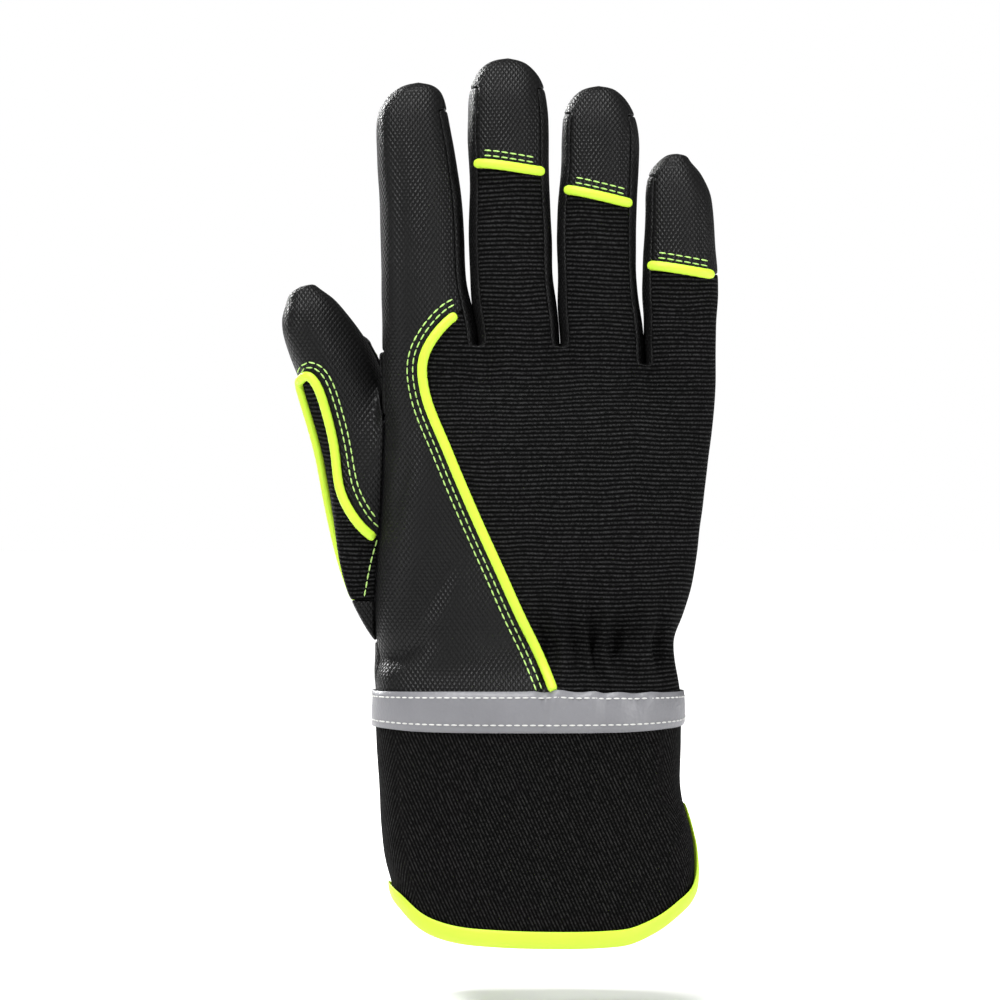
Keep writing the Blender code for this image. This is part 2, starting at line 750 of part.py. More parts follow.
    def build_thumb(self):
        """Opens the palm at the thumb's seam and raises the thumb out of it."""
        bm = self.bm
        first = len(CUFF_ROWS) + 1
        low, high = (first + HAND_ROWS.index(share) for share in THUMB_HOLE_ROWS)
        start = self.palm_end - FACE_COLUMNS
        end = self.palm_end + SIDE_COLUMNS - 1
        doomed = []
        for r in range(low, high):
            for k in range(start, end):
                doomed.append(self.face_of(self.rows[r], self.rows[r + 1], k))
        inside = [self.rows[r][k] for r in range(low + 1, high) for k in range(start + 1, end)]
        bmesh.ops.delete(bm, geom=doomed, context="FACES_ONLY")
        bmesh.ops.delete(bm, geom=inside, context="VERTS")
        palm_loop = [self.rows[high][k] for k in range(end, start, -1)]
        palm_loop += [self.rows[r][start] for r in range(high, low, -1)]
        palm_loop += [self.rows[low][k] for k in range(start, end + 1)]
        side_loop = [self.rows[r][end] for r in range(low + 1, high)]
        self.place_seam(palm_loop, side_loop)
        self.settle_palm(set(palm_loop + side_loop), low, high)
        self.raise_thumb(palm_loop + side_loop, len(palm_loop))

    def place_seam(self, palm_loop, side_loop):
        seam = [(x * KNUCKLE_WIDTH, CUFF_LENGTH + z * PALM_LENGTH) for x, z in THUMB_SEAM]
        line = smooth_line(seam, 8)
        reach = [0.0]
        for a, b in zip(line, line[1:]):
            reach.append(reach[-1] + (b - a).length)
        inner = palm_loop[2:-2]
        for k, v in enumerate(inner):
            want = reach[-1] * k / (len(inner) - 1)
            j = next(j for j in range(1, len(line)) if reach[j] >= want - 1e-9)
            share = (want - reach[j - 1]) / (reach[j] - reach[j - 1])
            spot = line[j - 1].lerp(line[j], share)
            v.co = Vector((spot.x, palm_depth_at(spot.x, spot.y), spot.y))

    def settle_palm(self, fixed, low, high):
        """Evens out the palm's vertices round the thumb seam, along the palm's own surface."""
        zone = []
        columns = range(self.palm_end - 2 * FACE_COLUMNS - WEB_COLUMNS - 2, self.palm_end)
        for r in range(low - 2, high + 3):
            zone += [self.rows[r][k] for k in columns if self.rows[r][k].is_valid]
        zone = [v for v in zone if v not in fixed]
        height = {v: v.co.y / max(palm_depth_at(v.co.x, v.co.z), 1e-6) for v in zone}
        for _ in range(14):
            moved = {}
            for v in zone:
                around = [e.other_vert(v).co for e in v.link_edges]
                moved[v] = sum(around, Vector()) / len(around)
            for v, co in moved.items():
                v.co.x += (co.x - v.co.x) * 0.5
                v.co.z += (co.z - v.co.z) * 0.5
                v.co.y = palm_depth_at(v.co.x, v.co.z) * height[v]

    def raise_thumb(self, loop, palm_count):
        bm = self.bm
        root = Vector((
            THUMB_ROOT[0] * KNUCKLE_WIDTH,
            THUMB_ROOT[1] * PALM_DEPTH,
            CUFF_LENGTH + THUMB_ROOT[2] * PALM_LENGTH,
        ))
        along = Vector((-math.sin(THUMB_LEAN), 0, math.cos(THUMB_LEAN)))
        across = Vector((math.cos(THUMB_LEAN), 0, math.sin(THUMB_LEAN)))
        count = len(loop)
        # the crotch's middle vertex faces the hand, and the loop runs over the palm side
        inner = (FACE_COLUMNS + SIDE_COLUMNS - 1) / 2
        angles = [2 * math.pi * (k - inner) / count for k in range(count)]

        def section(k, share):
            c, s = squared(angles[k], THUMB_SQUARENESS)
            shift, wide, deep = (read_table(THUMB_SHAPE, share, c_) for c_ in (1, 2, 3))
            centre = root + along * THUMB_LENGTH * share + across * THUMB_WIDTH * shift
            return centre + across * THUMB_WIDTH / 2 * wide * c + Vector((0, THUMB_DEPTH / 2 * deep * s, 0))

        base = [v.co.copy() for v in loop]
        middle = sum(base, Vector()) / count
        ring = loop
        for row in range(1, ROOT_ROWS + 1):
            share = row / ROOT_ROWS
            fresh = extrude_ring(bm, ring)
            for k, v in enumerate(fresh):
                start, goal = base[k], section(k, 0.0)
                reach = (goal - start).length
                facing = Vector((math.cos(angles[k]), math.sin(angles[k]), 0))
                lift = Vector((0, THUMB_LIFT * max(math.sin(angles[k]), 0.0), 0))
                first = start + (lift + facing * THUMB_FLARE + Vector(THUMB_RISE)) * reach * PALM_CARRY
                second = goal - along * reach * THUMB_CARRY
                rest = 1 - share
                v.co = (
                    start * rest**3
                    + first * 3 * rest * rest * share
                    + second * 3 * rest * share * share
                    + goal * share**3
                )
            self.label((ring, fresh), [THUMB] * count)
            ring = fresh
        for share in THUMB_ROWS:
            fresh = extrude_ring(bm, ring)
            for k, v in enumerate(fresh):
                v.co = section(k, share)
            self.label((ring, fresh), [THUMB] * count)
            ring = fresh
        edges = [bm.edges.get(pair) for pair in zip(ring, ring[1:] + ring[:1])]
        cap = bmesh.ops.contextual_create(bm, geom=edges)["faces"][0]
        fan = bmesh.ops.poke(bm, faces=[cap])["faces"]
        centre = max(fan[0].verts, key=lambda v: len(v.link_edges))
        centre.co += along * THUMB_LENGTH * THUMB_CROWN
        for face in fan:
            face[self.panel] = THUMB
        # the column that runs up the thumb's outer silhouette
        self.thumb_outer = palm_count - 3


def signed_distance(outline):
    """Distance from a closed outline seen along Y, negative inside it."""
    ends = [(a.x, a.y, b.x, b.y) for a, b in zip(outline, outline[1:] + outline[:1])]

    def distance(co):
        x, z = co.x, co.z
        best, inside = 1e9, False
        for ax, az, bx, bz in ends:
            ux, uz = bx - ax, bz - az
            size = ux * ux + uz * uz
            share = min(max(((x - ax) * ux + (z - az) * uz) / size, 0.0), 1.0) if size else 0.0
            best = min(best, math.hypot(x - ax - ux * share, z - az - uz * share))
            if (az > z) != (bz > z) and x < ax + ux * (z - az) / (bz - az):
                inside = not inside
        return -best if inside else best

    return distance


def hand_outline(points, steps=5, closed=True):
    places = [(x * KNUCKLE_WIDTH, CUFF_LENGTH + z * PALM_LENGTH) for x, z in points]
    return smooth_line(places, steps, closed)


def cut_along(bm, faces, distance, snap=0.22):
    """Splits faces along the line where a distance is zero and returns those on its inner side."""
    out = bm.verts.layers.float_vector["out"]
    value = {}
    for v in {v for f in faces for v in f.verts}:
        value[v] = distance(v.co)
        near = min(e.calc_length() for e in v.link_edges)
        if abs(value[v]) < snap * near:
            step = 1e-5
            slope_x = (distance(v.co + Vector((step, 0, 0))) - value[v]) / step
            slope_z = (distance(v.co + Vector((0, 0, step))) - value[v]) / step
            size = max(slope_x**2 + slope_z**2, 0.25)
            v.co -= flat_move(v, out, Vector((slope_x, 0, slope_z)) * (value[v] / size))
            value[v] = 0.0
    crossing = {e for f in faces for e in f.edges}
    ordered = sorted(crossing, key=lambda e: tuple((e.verts[0].co + e.verts[1].co)))
    for edge in ordered:
        a, b = edge.verts
        if a in value and b in value and value[a] * value[b] < 0:
            _, fresh = bmesh.utils.edge_split(edge, a, value[a] / (value[a] - value[b]))
            value[fresh] = 0.0
    inside_faces = set(faces)
    marked = bm.faces.layers.int["picked"]
    for f in bm.faces:
        f[marked] = 1 if f in inside_faces else 0
    zero = [v for v, d in value.items() if d == 0.0 and v.is_valid]
    outside = [f for f in bm.faces if not f[marked]]
    bmesh.ops.connect_verts(bm, verts=zero, faces_exclude=outside)
    inner = []
    for f in bm.faces:
        if f[marked]:
            total = sum(value.get(v, 0.0) for v in f.verts)
            if total < 0 or (total == 0 and distance(f.calc_center_median()) < 0):
                inner.append(f)
    return inner


def flat_move(v, out, move):
    """A move in the plane of the surface at a vertex."""
    normal = Vector(v[out]).normalized()
    return move - normal * move.dot(normal)


def finish_skin(shell):
    """Turns the skin outwards, triangulates it and notes each vertex's outward direction."""
    bm = shell.bm
    bmesh.ops.recalc_face_normals(bm, faces=bm.faces[:])
    middle = sum((v.co for v in bm.verts), Vector()) / len(bm.verts)
    facing = sum(f.normal.dot(f.calc_center_median() - middle) * f.calc_area() for f in bm.faces)
    if facing < 0:
        bmesh.ops.reverse_faces(bm, faces=bm.faces[:])
    bmesh.ops.triangulate(bm, faces=bm.faces[:])
    bm.normal_update()
    facing = {v: v.normal.copy() for v in bm.verts}
    for _ in range(NORMAL_BLEND):
        eased = {}
        for v in bm.verts:
            around = sum((facing[e.other_vert(v)] for e in v.link_edges), Vector())
            eased[v] = (facing[v] + around / len(v.link_edges)).normalized()
        facing = eased
    for v in bm.verts:
        v[shell.out] = facing[v]


def beside_middle(point):
    """Whether a point lies on the hand or on the index finger, clear of the other fingers."""
    return point.z < CUFF_LENGTH + 0.9 * PALM_LENGTH or point.x < line_x(1, point.z)


def cut_panels(shell):
    """Parts the back along the rolled piping and lets the knit insert into the thumb."""
    bm, panel, column = shell.bm, shell.panel, shell.column
    line = hand_outline(BACK_LINE, closed=False)
    far, top = -2 * KNUCKLE_WIDTH, line[0].y + KNUCKLE_WIDTH
    outline = [Vector((far, top)), Vector((0, top)), Vector((0, line[0].y))]
    outline += line + [Vector((line[-1].x, -CUFF_LENGTH)), Vector((far, -CUFF_LENGTH))]
    faces = [f for f in bm.faces if f[panel] == BACK and beside_middle(f.calc_center_median())]
    for f in cut_along(bm, faces, signed_distance(outline)):
        if f[panel] == BACK:
            f[panel] = INDEX
    legs = hand_outline(THUMB_INSERT, closed=False)
    bottom = CUFF_LENGTH + THUMB_INSERT_FOOT * PALM_LENGTH
    outline = [Vector((far, legs[0].y))] + legs + [Vector((legs[-1].x, bottom)), Vector((far, bottom))]
    faces = [f for f in bm.faces if f[panel] == THUMB and f[column] >= shell.thumb_outer]
    for f in cut_along(bm, faces, signed_distance(outline)):
        f[panel] = THUMB_KNIT


def panel_faces(source, number):
    """A copy of the skin with only one panel's faces."""
    bm = source.copy()
    panel = bm.faces.layers.int["panel"]
    doomed = [f for f in bm.faces if f[panel] != number]
    bmesh.ops.delete(bm, geom=doomed, context="FACES")
    return bm


def draw_in(bm, amount):
    """Moves an open surface's rim inwards along the surface."""
    pulls = {}
    for edge in bm.edges:
        if len(edge.link_faces) != 1:
            continue
        face = edge.link_faces[0]
        a, b = edge.verts
        pull = face.normal.cross((b.co - a.co).normalized())
        if pull.dot(face.calc_center_median() - a.co) < 0:
            pull.negate()
        for v in (a, b):
            pulls.setdefault(v, []).append(pull)
    for v, several in pulls.items():
        total = sum(several, Vector())
        if total.length > 1e-6:
            total.normalize()
            v.co += total * (amount / max(total.dot(several[0]), 0.4))


def finish_object(name, bm, fabric):
    """Makes an object of a closed mesh, with its own material."""
    bmesh.ops.recalc_face_normals(bm, faces=bm.faces[:])
    mesh = bpy.data.meshes.new(name)
    bm.to_mesh(mesh)
    bm.free()
    mesh.shade_smooth()
    mesh.set_sharp_from_angle(angle=math.radians(35))
    obj = bpy.data.objects.new(name, mesh)
    return dress(obj, fabric)


def dress(obj, fabric):
    colour, roughness = LOOKS[fabric]
    material = bpy.data.materials.new(obj.name + "_" + fabric)
    material.use_nodes = True
    shader = material.node_tree.nodes["Principled BSDF"]
    shader.inputs["Base Color"].default_value = (*colour, 1.0)
    shader.inputs["Roughness"].default_value = roughness
    shader.inputs["Metallic"].default_value = 0.0
    obj.data.materials.append(material)
    GLOVE.objects.link(obj)
    return obj


def slab(name, bm, low, high, rim, fabric):
    """A closed sheet between two heights over the skin, each a number or a rule of the vertex."""
    out = bm.verts.layers.float_vector["out"]
    tag = bm.verts.layers.int.new("tag")
    bmesh.ops.triangulate(bm, faces=bm.faces[:])
    bm.normal_update()
    order = [v.co.z + 0.37 * v.co.x + 0.11 * v.co.y for v in bm.verts]
    draw_in(bm, rim)
    under, over = [], []
    for k, v in enumerate(bm.verts):
        v[tag] = k
        direction = Vector(v[out]).normalized()
        under.append(v.co + direction * (low(v) if callable(low) else low))
        over.append(v.co + direction * (high(v) if callable(high) else high))
    made = bmesh.ops.extrude_face_region(bm, geom=bm.faces[:])["geom"]
    raised = {item for item in made if isinstance(item, bmesh.types.BMVert)}
    for v in bm.verts:
        v.co = over[v[tag]] if v in raised else under[v[tag]]
    # both sides of a seam split their rims the same way, so that twisted rims stay apart
    for rim_face in [f for f in bm.faces if len(f.verts) == 4]:
        top = max((v for v in rim_face.verts if v in raised), key=lambda v: order[v[tag]])
        foot = min((v for v in rim_face.verts if v not in raised), key=lambda v: order[v[tag]])
        bmesh.utils.face_split(rim_face, top, foot)
    return finish_object(name, bm, fabric)


def sweep(name, sections, fabric, closed):
    """A closed body through rings of points, joined end to end or capped."""
    bm = bmesh.new()
    ring = bmesh.ops.create_circle(bm, cap_ends=False, segments=len(sections[0]), radius=1.0)["verts"]
    first = ring
    for v, co in zip(ring, sections[0]):
        v.co = co
    for section in sections[1:] + ([sections[0]] if closed else []):
        ring = extrude_ring(bm, ring)
        for v, co in zip(ring, section):
            v.co = co
    if closed:
        bmesh.ops.weld_verts(bm, targetmap=dict(zip(ring, first)))
    else:
        for end in (first, ring):
            edges = [bm.edges.get(pair) for pair in zip(end, end[1:] + end[:1])]
            bmesh.ops.contextual_create(bm, geom=edges)
    bmesh.ops.triangulate(bm, faces=bm.faces[:])
    return finish_object(name, bm, fabric)


def make_panels(shell):
    for number, name in enumerate(PANELS):
        bm = panel_faces(shell.bm, number)
        wall = CUFF_WALL if number == CUFF else WALL
        slab(name, bm, -wall, 0.0, PANEL_RIM, FABRIC_OF.get(name, "leather"))


def make_patch(shell, name, outline, thickness, allowed):
    """A patch lying on the skin inside an outline."""
    bm = shell.bm.copy()
    panel = bm.faces.layers.int["panel"]
    distance = signed_distance(outline)
    faces = [f for f in bm.faces if allowed(f, f[panel])]
    inner = set(cut_along(bm, faces, distance))
    bmesh.ops.delete(bm, geom=[f for f in bm.faces if f not in inner], context="FACES")
    rise = thickness if callable(thickness) else lambda d: thickness
    slab(name, bm, GAP, lambda v: GAP + rise(distance(v.co)), 0.0, "leather")


def heel_rise(distance):
    """The heel pad swells from its sewn edge."""
    swell = HEEL_PAD_THICKNESS - PATCH_THICKNESS
    return PATCH_THICKNESS + swell * smooth_step(0.0, HEEL_PAD_EDGE, -distance)


def make_patches(shell):
    def on_palm(face, panel):
        return panel == PALM and face.normal.y > PATCH_FACING

    make_patch(shell, "saddle_patch", hand_outline(SADDLE_OUTLINE), PATCH_THICKNESS, on_palm)
    make_patch(shell, "heel_pad", hand_outline(HEEL_OUTLINE), heel_rise, on_palm)
    root_x = THUMB_ROOT[0] * KNUCKLE_WIDTH
    root_z = CUFF_LENGTH + THUMB_ROOT[2] * PALM_LENGTH
    places = [(root_x + x * THUMB_WIDTH, root_z + z * THUMB_LENGTH) for x, z in THUMB_PATCH]

    def on_thumb(face, panel):
        return panel == THUMB and face.normal.y > THUMB_PATCH_FACING

    make_patch(shell, "thumb_patch", smooth_line(places, 5, True), PATCH_THICKNESS, on_thumb)


def seam_chain(shell, one, other, wanted):
    """Vertices in order along the seam between two panels."""
    edges = []
    for edge in shell.bm.edges:
        if len(edge.link_faces) == 2:
            pair = {f[shell.panel] for f in edge.link_faces}
            if pair == {one, other} and wanted(edge):
                edges.append(edge)
    ends = {}
    for edge in edges:
        for v in edge.verts:
            ends.setdefault(v, []).append(edge)
    tips = [v for v, several in ends.items() if len(several) == 1]
    start = max(tips, key=lambda v: (round(v.co.z, 4), v.co.x))
    chain, used = [start], set()
    while True:
        edge = next((e for e in ends[chain[-1]] if e not in used), None)
        if edge is None:
            return chain
        used.add(edge)
        chain.append(edge.other_vert(chain[-1]))


def trimmed(points, start, end):
    """A polyline with a length taken off each end."""
    for cut in (start, end):
        left = cut
        while left > 0 and len(points) > 2:
            step = (points[1] - points[0]).length
            if step > left:
                points[0] = points[0].lerp(points[1], left / step)
                break
            left -= step
            points = points[1:]
        points = points[::-1]
    return points


def make_piping(shell, name, chain, start=0.002, end=0.002):
    """A rolled cord lying along a seam."""
    lift = PIPING_RADIUS + GAP
    points = [v.co + Vector(v[shell.out]).normalized() * lift for v in chain]
    points = trimmed(points, start, end)
    curve = bpy.data.curves.new(name, "CURVE")
    curve.dimensions = "3D"
    curve.bevel_depth = PIPING_RADIUS
    curve.bevel_resolution = 2
    curve.use_fill_caps = True
    spline = curve.splines.new("POLY")
    spline.points.add(len(points) - 1)
    for point, co in zip(spline.points, points):
        point.co = (*co, 1.0)
    return dress(bpy.data.objects.new(name, curve), "piping")


def make_pipings(shell):
    band_top = CUFF_LENGTH + BAND_HEIGHT / 2

    def over_band(edge):
        return min(v.co.z for v in edge.verts) > band_top + PIPING_RADIUS / 2

    make_piping(shell, "back_piping", seam_chain(shell, BACK, INDEX, over_band))
    foot = CUFF_LENGTH + (THUMB_INSERT_FOOT + 0.01) * PALM_LENGTH

    def over_foot(edge):
        return max(v.co.z for v in edge.verts) > foot

    make_piping(shell, "thumb_piping", seam_chain(shell, THUMB, THUMB_KNIT, over_foot))
    for tip, name in ((MIDDLE_TIP, "middle"), (RING_TIP, "ring"), (LITTLE_TIP, "little")):
        def on_back(edge):
            return all(f[shell.column] < FACE_COLUMNS for f in edge.link_faces)

        make_piping(shell, name + "_piping", seam_chain(shell, tip, BACK, on_back), 0.0005, 0.0015)


def make_binding(shell):
    """The bound edge, folded over the hem from the outside to the lining side."""
    hem, upper = shell.rows[0], shell.rows[1]
    outer = GAP + BINDING_THICKNESS
    inner = -CUFF_WALL - GAP
    sections = []
    for k, (low, high) in enumerate(zip(hem, upper)):
        ahead = hem[(k + 1) % len(hem)].co - low.co
        behind = low.co - hem[k - 1].co
        normal = Vector(low[shell.out]).normalized()
        downs = [d.cross(normal).normalized() for d in (ahead, behind)]
        downs = [d if d.z < 0 or abs(d.z) < 0.3 and d.dot(low.co - high.co) > 0 else -d for d in downs]
        down = (downs[0] + downs[1]).normalized()
        down /= max(down.dot(downs[0]), 0.5)
        lift = Vector(high[shell.out]).normalized()
        section = (
            high.co + lift * outer,
            low.co + normal * outer + down * GAP,
            low.co + normal * GAP + down * outer,
            low.co + normal * (inner + GAP) + down * outer,
            low.co + normal * (inner - BINDING_THICKNESS) + down * GAP,
            high.co + lift * (inner - BINDING_THICKNESS),
            high.co + lift * inner,
            low.co + normal * inner + down * GAP,
            low.co + normal * GAP + down * GAP,
            high.co + lift * GAP,
        )
        sections.append(section)
    sweep("hem_binding", sections, "piping", closed=True)


def make_band(shell):
    """Reflective tape round the cuff seam, its end lapped over its start."""
    seam = len(CUFF_ROWS)
    rows = [shell.rows[seam - 1], shell.rows[seam], shell.rows[seam + 1]]
    count = len(rows[0])
    start = shell.back_columns + SIDE_COLUMNS + 1
    steps = count + BAND_LAP_COLUMNS
    sections = []
    for i in range(steps + 1):
        k = (start - i) % count
        lapped = i >= count - 1
        low = GAP + (BAND_THICKNESS + GAP if lapped else 0.0)
        ring = [row[k] for row in rows]
        outs = [Vector(v[shell.out]).normalized() for v in ring]
        section = [v.co + out * low for v, out in zip(ring, outs)]
        section += [v.co + out * (low + BAND_THICKNESS) for v, out in zip(ring[::-1], outs[::-1])]
        sections.append(section)
    sweep("reflective_band", sections, "tape", closed=False)


for old in list(bpy.data.objects):
    bpy.data.objects.remove(old)
GLOVE = bpy.data.collections.new("insulated_mechanic_glove")
bpy.context.scene.collection.children.link(GLOVE)
SKIN = Shell()
finish_skin(SKIN)
cut_panels(SKIN)
make_panels(SKIN)
make_patches(SKIN)
make_pipings(SKIN)
make_binding(SKIN)
make_band(SKIN)
SKIN.bm.free()
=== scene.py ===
"""Looks of the insulated mechanic glove: fine fabric, seams, stitching, camera and light.

Fingers point along +Z, the back of the hand faces -Y, the palm +Y and the thumb lies at -X.
All lengths are in metres.
"""

import math

import bmesh
import bpy
from mathutils import Matrix, Vector, noise
from mathutils.bvhtree import BVHTree


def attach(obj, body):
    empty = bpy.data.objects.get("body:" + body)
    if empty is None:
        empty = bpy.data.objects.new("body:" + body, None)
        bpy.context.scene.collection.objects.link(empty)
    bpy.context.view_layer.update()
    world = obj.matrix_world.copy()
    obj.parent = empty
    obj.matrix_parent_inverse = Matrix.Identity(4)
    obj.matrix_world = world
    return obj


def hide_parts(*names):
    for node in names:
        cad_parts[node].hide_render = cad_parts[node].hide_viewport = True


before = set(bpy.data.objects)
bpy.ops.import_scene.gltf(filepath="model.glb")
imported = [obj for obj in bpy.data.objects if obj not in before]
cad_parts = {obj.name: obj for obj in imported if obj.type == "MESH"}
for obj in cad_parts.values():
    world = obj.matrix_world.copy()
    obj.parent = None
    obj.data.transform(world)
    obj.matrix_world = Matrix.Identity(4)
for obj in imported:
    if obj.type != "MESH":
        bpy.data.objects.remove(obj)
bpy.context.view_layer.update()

# Points that a smooth line gets between two of its own, where it cuts panels and elsewhere
CUT_STEPS = 5
FINE_STEPS = 8

# Fingers, each from the crotch level to its tip, with the width it takes across the knuckles
INDEX_LENGTH = 0.0810
MIDDLE_LENGTH = 0.0885
RING_LENGTH = 0.0800
LITTLE_LENGTH = 0.0590
INDEX_WIDTH = 0.0273
MIDDLE_WIDTH = 0.0267
RING_WIDTH = 0.0260
LITTLE_WIDTH = 0.0242
FINGER_DEPTH = 0.0250
FINGER_GAP = 0.0012
FINGER_CURL = 0.0090
# Fingers press together at their roots: between these shares of the length the gap widens by
# GAP_OPENS times FINGER_GAP, from GAP_OVERLAP times FINGER_GAP less than nothing
FINGERS_TOUCH = (0.12, 0.26)
GAP_OPENS = 1.33
GAP_OVERLAP = 0.45

# Hand and thumb
PALM_LENGTH = 0.1120
PALM_DEPTH = 0.0440
THUMB_LENGTH = 0.0350
THUMB_WIDTH = 0.0248
THUMB_DEPTH = 0.0250
ELASTIC_PINCH = 0.0030

# Cuff, with its vent at the little finger's side
CUFF_LENGTH = 0.0695
CUFF_WIDTH = 0.0930
CUFF_DEPTH = 0.0600

# Walls, trim and clearances
WALL = 0.0030
CUFF_WALL = 0.0026
PATCH_THICKNESS = 0.0012
HEEL_PAD_THICKNESS = 0.0034
HEEL_PAD_EDGE = 0.0080
BAND_HEIGHT = 0.0125
BAND_THICKNESS = 0.0008
PIPING_RADIUS = 0.0012
BINDING_THICKNESS = 0.0009
BINDING_HEIGHT = 0.0044
GAP = 0.0003
# A length too small to see, and the least slope that a cutting line's distance may have
TINY = 1e-5
LEAST_SLOPE = 0.25

# The mesh is as fine as the fabric's folds need: columns and rows of the plain form, times this
FINER = 3
FACE_COLUMNS = 4 * FINER
SIDE_COLUMNS = 3 * FINER
WEB_COLUMNS = FINER
SIDE_BACK = FINER
EDGE_ANGLE = math.radians(40)

# Squareness of the fingers' and the thumb's sections, and how far a tip crowns over its last row
FINGER_SQUARENESS = 2.3
THUMB_SQUARENESS = 2.2
TIP_CROWN = 0.012
THUMB_CROWN = 0.02
# The oval hand turns into four finger roots from this share of the palm on
ROOTS_BEGIN = 0.72
ROOTS_EASE = 1.3
# The elastic draws the back in from this share of the half breadth towards the little finger
ELASTIC_START = -0.3
ELASTIC_HEIGHT = 0.19
ELASTIC_SPREAD = 0.07
ELASTIC_ONSET = 3
# How far up the palm the cuff's section carries, and the section's squareness at the crotch
CUFF_CARRY = 0.12
CROTCH_SQUARENESS = 2.5
WIDEST_ACROSS = 0.97
# How steeply the binding may follow the hem, and how squarely a patch's fabric faces the palm
BINDING_STRETCH = 2.6
PATCH_FACING = 0.12
THUMB_PATCH_FACING = 0.2

FINGER_NAMES = ("index", "middle", "ring", "little")
FINGER_WIDTHS = (INDEX_WIDTH, MIDDLE_WIDTH, RING_WIDTH, LITTLE_WIDTH)
FINGER_LENGTHS = (INDEX_LENGTH, MIDDLE_LENGTH, RING_LENGTH, LITTLE_LENGTH)
KNUCKLE_WIDTH = sum(FINGER_WIDTHS)
THUMB_SIDE = -0.4415
THUMB_SIDE_X = THUMB_SIDE * KNUCKLE_WIDTH
CROTCH_Z = CUFF_LENGTH + PALM_LENGTH

# Lines between the fingers: height as a share of the middle finger's length over the crotch
# level, then how far each line leans across, as a share of the knuckle width
LINE_LEAN = (
    (-1.00, 0.004, 0.027, 0.0125, 0.0120, -0.0115),
    (0.00, 0.004, 0.027, 0.0125, 0.0120, -0.0115),
    (0.20, 0.000, 0.000, 0.0000, 0.0000, 0.0000),
    (0.40, -0.003, -0.009, -0.004, 0.0030, -0.0060),
    (0.60, -0.008, -0.012, -0.006, 0.0090, -0.0110),
    (0.80, -0.013, -0.014, -0.005, 0.0130, -0.0130),
    (1.00, -0.013, -0.016, -0.004, 0.0130, -0.0130),
)
# Height of each line's root, as a share of the palm's length
LINE_ROOT = (0.985, 1.0, 1.0, 0.945, 0.925)

# Each finger: height share of its length, how far its thumb side and little side draw in as
# shares of its width, and its depth share
FINGER_SHAPES = {
    "index": (
        (0.00, 0.000, 0.000, 1.04),
        (0.45, 0.000, 0.010, 1.00),
        (0.60, 0.000, 0.035, 0.97),
        (0.75, 0.000, 0.100, 0.92),
        (0.83, 0.005, 0.145, 0.86),
        (0.90, 0.040, 0.185, 0.76),
        (0.945, 0.110, 0.215, 0.64),
        (0.98, 0.215, 0.265, 0.50),
        (1.00, 0.310, 0.340, 0.36),
    ),
    "middle": (
        (0.00, 0.000, 0.000, 1.04),
        (0.35, 0.010, 0.005, 1.00),
        (0.54, 0.035, 0.020, 0.98),
        (0.75, 0.025, 0.035, 0.94),
        (0.88, 0.045, 0.065, 0.84),
        (0.94, 0.110, 0.135, 0.68),
        (0.98, 0.210, 0.240, 0.50),
        (1.00, 0.310, 0.330, 0.36),
    ),
    "ring": (
        (0.00, 0.000, 0.000, 1.04),
        (0.37, 0.000, 0.025, 1.00),
        (0.52, 0.010, 0.040, 0.97),
        (0.68, 0.050, 0.045, 0.93),
        (0.83, 0.065, 0.040, 0.86),
        (0.90, 0.090, 0.080, 0.76),
        (0.95, 0.160, 0.160, 0.62),
        (0.98, 0.240, 0.250, 0.50),
        (1.00, 0.330, 0.340, 0.36),
    ),
    "little": (
        (0.00, 0.000, 0.000, 1.02),
        (0.46, 0.000, 0.000, 0.98),
        (0.55, 0.010, 0.025, 0.95),
        (0.73, 0.035, 0.035, 0.90),
        (0.83, 0.035, 0.060, 0.82),
        (0.92, 0.080, 0.170, 0.68),
        (0.97, 0.190, 0.290, 0.46),
        (1.00, 0.290, 0.340, 0.38),
    ),
}
# Where each tip cap's seam crosses the back of its finger, as a share of the length, and how
# much the seam falls towards the little finger, as a share of the finger's width
TIP_SEAM = {
    "index": (0.60, 0.0),
    "middle": (0.615, 0.09),
    "ring": (0.585, 0.09),
    "little": (0.455, 0.08),
}
SEAM_REACH = 0.22

# Hand: height share of the palm's length, edges across as shares of the knuckle width, depths
# of the back and the palm as shares of the palm's depth, and the section's squareness
HAND_SHAPE = (
    (0.000, -0.454, 0.446, 0.640, 0.640, 2.3),
    (0.094, -0.463, 0.436, 0.560, 0.580, 2.4),
    (0.190, -0.462, 0.424, 0.520, 0.560, 2.4),
    (0.270, -0.462, 0.455, 0.500, 0.570, 2.5),
    (0.380, -0.456, 0.487, 0.480, 0.580, 2.6),
    (0.495, -0.446, 0.503, 0.460, 0.560, 2.6),
    (0.656, -0.436, 0.523, 0.430, 0.520, 2.6),
    (0.826, -0.436, 0.540, 0.380, 0.440, 2.5),
    (1.000, -0.438, 0.547, 0.320, 0.330, 2.4),
)
# Cuff: height share of its length, edges across as shares of its width, depth share, squareness
CUFF_SHAPE = (
    (0.00, -0.440, 0.515, 1.00, 2.2),
    (0.20, -0.450, 0.548, 1.00, 2.2),
    (0.35, -0.480, 0.546, 0.99, 2.2),
    (0.46, -0.490, 0.540, 0.98, 2.2),
    (0.56, -0.497, 0.515, 0.97, 2.2),
    (0.65, -0.500, 0.500, 0.96, 2.2),
    (0.82, -0.505, 0.500, 0.95, 2.2),
    (1.00, -0.508, 0.499, 0.94, 2.3),
)
